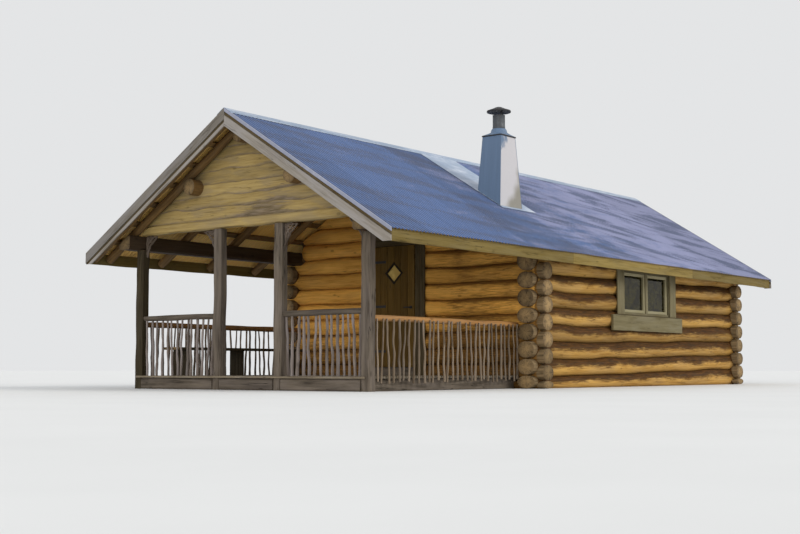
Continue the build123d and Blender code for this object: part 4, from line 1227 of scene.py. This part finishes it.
shape = Shape(74)
bench_low, bench_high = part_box("porch_bench")
half = (bench_high[1] - bench_low[1] - 0.008) / 2
z = bench_high[2] - 0.02
for y in (bench_low[1] + half / 2, bench_high[1] - half / 2):
    shape.bar((bench_low[0], y, z), (bench_high[0], y, z), rectangle(half, 0.039, 0.007, 1), step=0.2, rough=0.0015,
              end=1)
y = middle(bench_low, bench_high, 1)
for number in range(3):
    x = bench_low[0] + 0.19 + number * (bench_high[0] - bench_low[0] - 0.04 - 0.38) / 2 + 0.02
    shape.bar((x, y, DECK_TOP + 0.001), (x, y, bench_high[2] - 0.041), rectangle(0.298, 0.038, 0.005, 1),
              up=(1, 0, 0), step=0.1, rough=0.001, end=1)
shape.make("bench_planks", [dark_post, log_end], "deck_boards", replaces=("porch_bench",))

# Door frame and casing

shape = Shape(81)
x = middle(frame_low, frame_high, 0)
z = frame_high[2] - 0.0225
deep = frame_high[0] - frame_low[0]
for y in (frame_low[1] + 0.0225, frame_high[1] - 0.0225):
    shape.bar((x, y, frame_low[2] + 0.001), (x, y, frame_high[2] - 0.046), rectangle(0.044, deep, 0.004),
              up=(1, 0, 0), step=0.3, rough=0.0005)
shape.bar((x, frame_low[1], z), (x, frame_high[1], z), rectangle(deep, 0.044, 0.004), step=0.3, rough=0.0005)
shape.make("door_jambs", [trim_wood], "door_trim", replaces=("door_frame",))

shape = Shape(82)
casing_low, casing_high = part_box("door_casing")
x = middle(casing_low, casing_high, 0)
inner = 0.453
width = (casing_high[1] - casing_low[1]) / 2 - inner
for side in (-1, 1):
    for part in (0.25, 0.75):
        y = middle(casing_low, casing_high, 1) + side * (inner + width * part)
        shape.bar((x, y, casing_low[2]), (x, y, casing_high[2] - width - 0.002),
                  rectangle(width / 2 - 0.003, 0.0245, 0.004, 1), up=(1, 0, 0), step=0.25, rough=0.0008)
z = casing_high[2] - width / 2
shape.bar((x, casing_low[1], z), (x, casing_high[1], z), rectangle(0.0245, width - 0.002, 0.004, 1), step=0.25,
          rough=0.0008)
shape.make("door_casing_boards", [trim_wood], "door_trim", replaces=("door_casing",))

shape = Shape(83)
low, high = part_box("door_sill")
x = middle(low, high, 0)
z = middle(low, high, 2)
shape.bar((x, low[1], z), (x, high[1], z), rectangle(high[0] - low[0] - 0.002, high[2] - low[2] - 0.001, 0.02, 2),
          step=0.12, rough=0.003)
shape.make("door_sill_timber", [silver_wood], "grey_timber", replaces=("door_sill",))

# Door leaf: upright boards with bevelled edges, a moulding around the diamond light, ledges inside

leaf_low, leaf_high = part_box("door_leaf")
pane_low, pane_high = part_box("door_pane")
PANE_Y = middle(pane_low, pane_high, 1)
PANE_Z = middle(pane_low, pane_high, 2)
PANE_HALF = (pane_high[1] - pane_low[1]) / 2 + 0.001


def upright(y, z, w):
    """Places a plate in the plane of the leaf."""
    return (w, y, z)


def outside_diamond(y0, y1):
    """Outlines of what is left of a board between y0 and y1 around the diamond light."""
    low, high = leaf_low[2] + 0.001, leaf_high[2] - 0.001
    if y1 <= PANE_Y - PANE_HALF or y0 >= PANE_Y + PANE_HALF:
        return [[(y0, low), (y1, low), (y1, high), (y0, high)]]
    inside = [v for v in (PANE_Y - PANE_HALF, PANE_Y, PANE_Y + PANE_HALF) if y0 < v < y1]
    edge = [(y, max(0.0, PANE_HALF - abs(y - PANE_Y))) for y in sorted({y0, y1, *inside})]
    lower = [(y0, low), (y1, low)] + [(y, PANE_Z - half) for y, half in reversed(edge)]
    upper = [(y, PANE_Z + half) for y, half in edge] + [(y1, high), (y0, high)]
    return [lower, upper]


shape = Shape(84)
count = 6
width = (leaf_high[1] - leaf_low[1]) / count
for number in range(count):
    tone = shape.rng.random()
    y0 = leaf_low[1] + number * width + 0.0015
    y1 = leaf_low[1] + (number + 1) * width - 0.0015
    for outline in outside_diamond(y0, y1):
        shape.plate(outline, upright, leaf_low[0] + 0.001, leaf_high[0] - 0.019, tone=tone, bevel=0.005,
                    grain_turn=math.pi / 2)
y0, y1 = leaf_low[1] + 0.03, leaf_high[1] - 0.03
for z0, z1 in ((leaf_low[2] + 0.12, leaf_low[2] + 0.27), (leaf_high[2] - 0.27, leaf_high[2] - 0.12),
               (leaf_low[2] + 0.93, leaf_low[2] + 1.07)):
    shape.plate([(y0, z0), (y1, z0), (y1, z1), (y0, z1)], upright, leaf_high[0] - 0.0185, leaf_high[0] - 0.001,
                bevel=0.004)
turns = ((0, 1), (1, 0), (0, -1), (-1, 0), (0, 1))
for inner_gap, outer_gap, slot, x0, x1 in ((0.014, 0.036, 1, leaf_low[0] - 0.004, leaf_low[0] + 0.012),
                                          (0.020, 0.022, 0, leaf_high[0] - 0.020, leaf_high[0] - 0.004)):
    r0 = PANE_HALF - inner_gap
    r1 = PANE_HALF + outer_gap
    for a, b in zip(turns[:-1], turns[1:]):
        outline = [(PANE_Y + c[0] * r, PANE_Z + c[1] * r) for c, r in ((a, r0), (a, r1), (b, r1), (b, r0))]
        shape.plate(outline, upright, x0, x1, side=slot, end=slot)
shape.make("door_boards", [door_wood, black_wood], "door_boards", body="door", replaces=("door_leaf",))

# Windows


def window_bar(shape, a, b, y, width, thick, slot):
    """A bar of a window between two (x, z) places."""
    flat = a[0] != b[0]
    section = rectangle(thick, width, 0.004) if flat else rectangle(width, thick, 0.004)
    shape.bar((a[0], y, a[1]), (b[0], y, b[1]), section, up=(0, 0, 1) if flat else (0, 1, 0), step=0.4,
              rough=0.0004, side=slot, end=slot)


def window_ring(shape, x0, x1, z0, z1, inset, gap, *look):
    """Two stiles with two rails between them, their axes inset from the outline."""
    for x in (x0 + inset, x1 - inset):
        window_bar(shape, (x, z0 + gap), (x, z1 - gap), *look)
    for z in (z0 + inset, z1 - inset):
        window_bar(shape, (x0 + 2 * inset, z), (x1 - 2 * inset, z), *look)


def window(shape, side):
    """The outer frame, its middle post and a sash in each light."""
    y = side * window_high[1]
    y_frame = (y + (y - side * 0.12)) / 2
    (x0, _, z0), (x1, _, z1) = window_low, window_high
    mid_x = (x0 + x1) / 2
    window_ring(shape, x0, x1, z0, z1, 0.02, 0.001, y_frame, 0.039, 0.118, 0)
    window_bar(shape, (mid_x, z0 + 0.04), (mid_x, z1 - 0.04), y_frame, 0.066, 0.116, 0)
    for a, b in ((x0 + 0.041, mid_x - 0.034), (mid_x + 0.034, x1 - 0.041)):
        window_ring(shape, a, b, z0 + 0.041, z1 - 0.041, 0.026, 0.0, y - side * 0.045, 0.050, 0.045, 1)


shape = Shape(91)
window(shape, -1)
shape.rng = random.Random(92)
window(shape, 1)
shape.make("window_sashes", [paint_wood, sash_wood], "window_paint", replaces=("window_frames",))

shape = Shape(93)
case_low, case_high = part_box("window_casings")
inner_x0 = window_low[0] + 0.0095
inner_x1 = window_high[0] - 0.0095
z = case_high[2] - 0.0175
for side in (-1, 1):
    y = (side * (window_high[1] + SEAT_GAP) + side * case_high[1]) / 2
    for a, b in ((case_low[0], inner_x0), (inner_x1, case_high[0])):
        x = (a + b) / 2
        shape.bar((x, y, case_low[2] + 0.001), (x, y, case_high[2] - 0.001),
                  rectangle(b - a - 0.001, 0.0245, 0.004, 2), up=(0, 1, 0), step=0.25, rough=0.0006)
    shape.bar((inner_x0 + 0.001, y, z), (inner_x1 - 0.001, y, z), rectangle(0.0245, 0.033, 0.003), step=0.3)
shape.make("window_casing_boards", [paint_wood], "window_paint", replaces=("window_casings",))

shape = Shape(94)
apron_low, apron_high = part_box("window_aprons")
x0, x1, z = apron_low[0], apron_high[0], apron_high[2]
for side in (-1, 1):
    y0 = side * (window_high[1] + SEAT_GAP)
    y1 = side * apron_high[1]
    lower = waves(shape.rng, 0.002, 1.0)
    xs = [x0 + (x1 - x0) * i / 12 for i in range(13)]
    outline = [(x, apron_low[2] + 0.003 + lower(x)) for x in xs] + [(x1, z - 0.012), (x0, z - 0.012)]
    shape.plate(outline, lambda x, z, w: (x, w, z), y1 - side * 0.006, y0, bevel=0.004)
    y = (y0 + y1) / 2
    shape.bar((x0 + 0.1, y, z - 0.006), (x1 - 0.1, y, z - 0.006), rectangle(abs(y1 - y0) - 0.001, 0.011, 0.003),
              step=0.4, side=1, end=1)
shape.make("window_apron_boards", [paint_wood, trim_wood], "window_paint", replaces=("window_aprons",))

# Chimney

stack_low, stack_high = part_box("chimney_stack")
rim_low, rim_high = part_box("chimney_rim")
collar_low, collar_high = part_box("chimney_collar")
flue_low, flue_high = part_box("chimney_flue")
STACK_X = middle(stack_low, stack_high, 0)
STACK_Y = middle(flue_low, flue_high, 1)
STACK_TOP = flue_low[2] - SEAT_GAP
STACK_BASE = roof_z(STACK_Y)
TOP_HALF = (0.215, 0.1825)
BASE_HALF = (0.315, 0.2275)
FLUE_RADIUS = (flue_high[0] - flue_low[0]) / 2


def stack_half(z):
    """Half the length and half the width of the casing at a height."""
    part = (STACK_TOP - z) / (STACK_TOP - STACK_BASE)
    return [top + (base - top) * part for top, base in zip(TOP_HALF, BASE_HALF)]


def stack_highlight_and_shadow(turn, part, level):
    """How much painted highlight the near side of the casing takes where the sun glares on it, with grey-brown over
    1 low on the right: grime and painted shadow.
    """
    near_side = 3
    if turn != near_side:
        return 0.0
    uneven = 0.20 * math.sin(8.0 * level + 2.5) + 0.13 * math.sin(21.0 * level + 4.0 * part)
    shadow_and_grime = limited(0.41 + 0.70 * (part + 0.80 - 2.80 * level + uneven))
    painted = limited(6.0 * (level - 0.78)) * limited(1.6 * (0.25 - part))
    return 0.66 - 0.40 * painted + 0.95 * shadow_and_grime


def stack_corner(turn, part, level, buckle):
    """A corner of the casing: on one side, along a part of its width, at a level from roof to rim."""
    steps_to_roof = 30
    z = STACK_BASE
    for step in range(steps_to_roof + 1):
        at_level = step == steps_to_roof
        if at_level:
            z += (STACK_TOP - 0.0005 - z) * level
        half_x, half_y = stack_half(z)
        dent = abs(buckle(z * 2 + turn)) * (1 - abs(part)) if at_level and 0 < level < 1 else 0.0
        out_x, out_y = half_x - 0.0008 - dent, half_y - 0.0008 - dent
        u_x, u_y = part * (half_x - 0.012), part * (half_y - 0.012)
        x, y = ((out_x, u_y), (-u_x, out_y), (-out_x, -u_y), (u_x, -out_y))[turn]
        if not at_level:
            z = roof_z(STACK_Y + y, -0.0052)
    point = (STACK_X + x, STACK_Y + y, z)
    return (point, (part * half_x + turn * 0.9, z, half_x), stack_highlight_and_shadow(turn, part, level))


shape = Shape(95)
levels = 14
buckle = waves(shape.rng, 0.0016, 0.5)
rows = [
    [stack_corner(turn, part / 4, level / levels, buckle) for turn in range(4) for part in range(-4, 5)]
    for level in range(levels + 1)
]
shape.loft(rows, 0.5, bevel=0.0002)
# Folded seams on the corners
for sx, sy in ((-1, -1), (1, -1), (-1, 1), (1, 1)):
    y_low = STACK_Y + sy * stack_half(STACK_BASE)[1]
    ends = []
    for z in (roof_z(y_low, -0.006) + 0.002, STACK_TOP - 0.001):
        half_x, half_y = stack_half(z)
        ends.append((STACK_X + sx * (half_x - 0.004), STACK_Y + sy * (half_y - 0.004), z))
    shape.bar(*ends, circle(0.0045, 8), up=(1, 0, 0), step=0.2, tone=0.5, bevel=0.001)
shape.make("stack_casing", [stack_paint], "stack_metal", replaces=("chimney_stack",), sharp=30)


def square_ring(half, inset, z, round_part=0.015):
    """A four-sided ring with round corners, drawn in by inset."""
    ring = []
    for turn in range(4):
        cx = (half[0] - inset - round_part) * (1 if turn in (0, 3) else -1)
        cy = (half[1] - inset - round_part) * (1 if turn in (0, 1) else -1)
        for i in range(4):
            angle = turn * math.pi / 2 + (i / 3) * math.pi / 2
            x = STACK_X + cx + round_part * math.cos(angle)
            ring.append((x, STACK_Y + cy + round_part * math.sin(angle), z))
    return ring


def round_ring(radius, z):
    """A round ring with its points in the order of the four-sided one, so that the two can be joined."""
    ring = []
    for turn in range(4):
        for i in range(4):
            angle = turn * math.pi / 2 + math.pi / 8 * (i + 0.5)
            ring.append((STACK_X + radius * math.cos(angle), STACK_Y + radius * math.sin(angle), z))
    return ring


def loft_rings(shape, rings, tone):
    """Joins plain rings of points, the grain following their height."""
    shape.loft([[(p, (p[0], p[2] * 2, p[1]), 0.0) for p in ring] for ring in rings], tone)


shape = Shape(96)
half = ((rim_high[0] - rim_low[0]) / 2, (rim_high[1] - rim_low[1]) / 2)
loft_rings(shape, [square_ring(half, 0.012, rim_low[2]), square_ring(half, 0.0, rim_low[2] + 0.004),
                   square_ring(half, 0.0, rim_high[2] - 0.004), square_ring(half, 0.006, rim_high[2])], 0.3)
shape.make("stack_rim", [black_iron], "black_iron", replaces=("chimney_rim",))

shape = Shape(97)
half = ((collar_high[0] - collar_low[0]) / 2, (collar_high[1] - collar_low[1]) / 2)
loft_rings(shape, [
    square_ring(half, 0.002, collar_low[2] + 0.0005), square_ring(half, 0.008, collar_low[2] + 0.009),
    square_ring((0.165, 0.148), 0.0, collar_low[2] + 0.028, 0.04),
    round_ring(FLUE_RADIUS + 0.036, collar_low[2] + 0.055), round_ring(FLUE_RADIUS + 0.022, collar_high[2] - 0.020),
    round_ring(FLUE_RADIUS + 0.012, collar_high[2]),
], 0.5)
shape.make("stack_collar", [stack_paint], "stack_metal", replaces=("chimney_collar",), sharp=45)


def turned(shape, profile, count):
    """A form turned around the chimney line from (radius, height) points, the profile closed on itself."""
    size = len(profile)
    corners = []
    faces = []
    for i in range(count):
        angle = 2 * math.pi * i / count
        for radius, z in profile:
            point = (STACK_X + radius * math.cos(angle), STACK_Y + radius * math.sin(angle), z)
            corners.append((point, (angle * 0.15, z, radius), 0.0))
        a = i * size
        b = (i + 1) % count * size
        faces += [(a + k, b + k, b + (k + 1) % size, a + (k + 1) % size) for k in range(size)]
    shape.add(corners, faces, 0.5, [0] * len(faces))


shape = Shape(98)
top = flue_high[2]
low = flue_low[2]
bead = collar_high[2]
turned(shape, [(FLUE_RADIUS - inset, z) for inset, z in (
    (0.001, low), (0.001, bead + 0.02), (0.0, bead + 0.024), (0.0, bead + 0.034), (0.003, bead + 0.038),
    (0.003, top - 0.012), (0.0005, top - 0.008), (0.001, top - 0.001), (0.005, top), (0.006, top - 0.006),
    (0.006, low),
)], 40)
shape.make("flue_pipe", [flue_iron], "black_iron", replaces=("chimney_flue",), sharp=40)

shape = Shape(99)
hood_low, hood_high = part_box("chimney_cap")
radius = (hood_high[0] - hood_low[0]) / 2
disc = flue_high[2] + 0.05
tip = hood_high[2]
turned(shape, [
    (0.004, disc + 0.012), (radius - 0.02, disc + 0.004), (radius - 0.004, disc), (radius, disc + 0.006),
    (radius, disc + 0.022), (radius - 0.006, disc + 0.029), (radius * 0.6, disc + 0.055),
    (radius * 0.25, tip - 0.008), (0.02, tip - 0.001), (0.004, tip),
], 44)
reach = 0.097
for number in range(3):
    angle = 2 * math.pi * number / 3
    x = STACK_X + reach * math.cos(angle)
    y = STACK_Y + reach * math.sin(angle)
    shape.bar((x, y, hood_low[2]), (x, y, disc + 0.004), rectangle(0.0036, 0.024, 0.0008),
              up=(-math.sin(angle), math.cos(angle), 0), step=0.1, bevel=0.001)
shape.make("flue_cap", [black_iron], "black_iron", replaces=("chimney_cap",), sharp=40)

shape = Shape(100)
saddle_low, saddle_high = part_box("chimney_flashing")
length = saddle_high[0] - saddle_low[0]
steps = 14
parts = [k / 12 for k in range(13)]
rows = []
for i in range(steps + 1):
    y = saddle_high[1] + (saddle_low[1] - saddle_high[1]) * i / steps
    profile = [(part, 0.0040 - 0.002 * max(0.0, 1 - min(part, 1 - part) * length / 0.02)) for part in parts]
    profile += [(1 - part, 0.0006) for part in parts]
    row = []
    for part, rise in profile:
        x = saddle_low[0] + length * part
        row.append(((x, y, roof_z(y, -rise)), (x, y * STRETCH, 1.0), 0.0))
    rows.append(row)
shape.loft(rows, 0.8, bevel=0.0002)
shape.make("roof_flashing", [cap_paint], "cap_metal", replaces=("chimney_flashing",), sharp=50)

# CAD pieces that stay, with their materials

for node, material in (("window_panes", pane_glass), ("door_pane", diamond_glass), ("door_handle", black_iron),
                       ("hinge_straps", black_iron), ("hinge_pintles", black_iron)):
    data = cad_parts[node].data
    data.materials.clear()
    data.materials.append(material)

# Floor, light and camera

floor = Material("stage_floor")
mottle = floor.span(floor.noise(floor.node("TexCoord", "Object"), 0.6, 3.0), 0.3, 0.7)
floor.surface({"Base Color": floor.mix(mottle, (0.70, 0.70, 0.69), (0.72, 0.72, 0.71)), "Roughness": 0.9})
bpy.ops.mesh.primitive_plane_add(size=400, location=(0, 0, -0.0005))
ground = bpy.context.object
ground.name = "stage_ground"
ground.data.materials.append(floor.material)

world = bpy.data.worlds.new("studio")
bpy.context.scene.world = world
world.use_nodes = True
studio = Graph(world.node_tree)
output = studio.tree.nodes.new("ShaderNodeOutputWorld")
path = studio.tree.nodes.new("ShaderNodeLightPath").outputs
seen = studio.math("MAXIMUM", path["Is Camera Ray"], path["Is Glossy Ray"])
seen = studio.math("MAXIMUM", seen, path["Is Transmission Ray"])
ambient = studio.node("Background", 0, {"Color": (0.93, 0.96, 1.0, 1.0), "Strength": 0.85})
backdrop = studio.node("Background", 0, {"Color": (0.86, 0.87, 0.88, 1.0), "Strength": 0.9})
studio.put(output.inputs["Surface"], studio.node("MixShader", 0, {0: seen, 1: ambient, 2: backdrop}))


def sun(name, towards, strength, angle, colour):
    """A soft sun that shines from the given side onto the object."""
    data = bpy.data.lights.new(name, "SUN")
    data.energy = strength
    data.angle = math.radians(angle)
    data.color = colour
    lamp = bpy.data.objects.new(name, data)
    bpy.context.collection.objects.link(lamp)
    lamp.rotation_euler = Vector(towards).to_track_quat("Z", "Y").to_euler()


sun("key_light", (0.30, -0.85, 0.55), 1.5, 28, (1.0, 0.97, 0.91))
sun("fill_light", (-0.93, -0.25, 0.13), 1.35, 45, (1.0, 0.95, 0.88))

camera_data = bpy.data.cameras.new("camera")
camera = bpy.data.objects.new("camera", camera_data)
bpy.context.collection.objects.link(camera)
camera.location = (-18.90, -13.15, 0.30)
pitch = math.radians(4.55)
look = Vector((0.787 * math.cos(pitch), 0.617 * math.cos(pitch), math.sin(pitch)))
camera.rotation_euler = (-look).to_track_quat("Z", "Y").to_euler()
camera_data.lens = 57.7
camera_data.sensor_width = 36.0
bpy.context.scene.camera = camera
bpy.context.scene.view_settings.view_transform = "Standard"
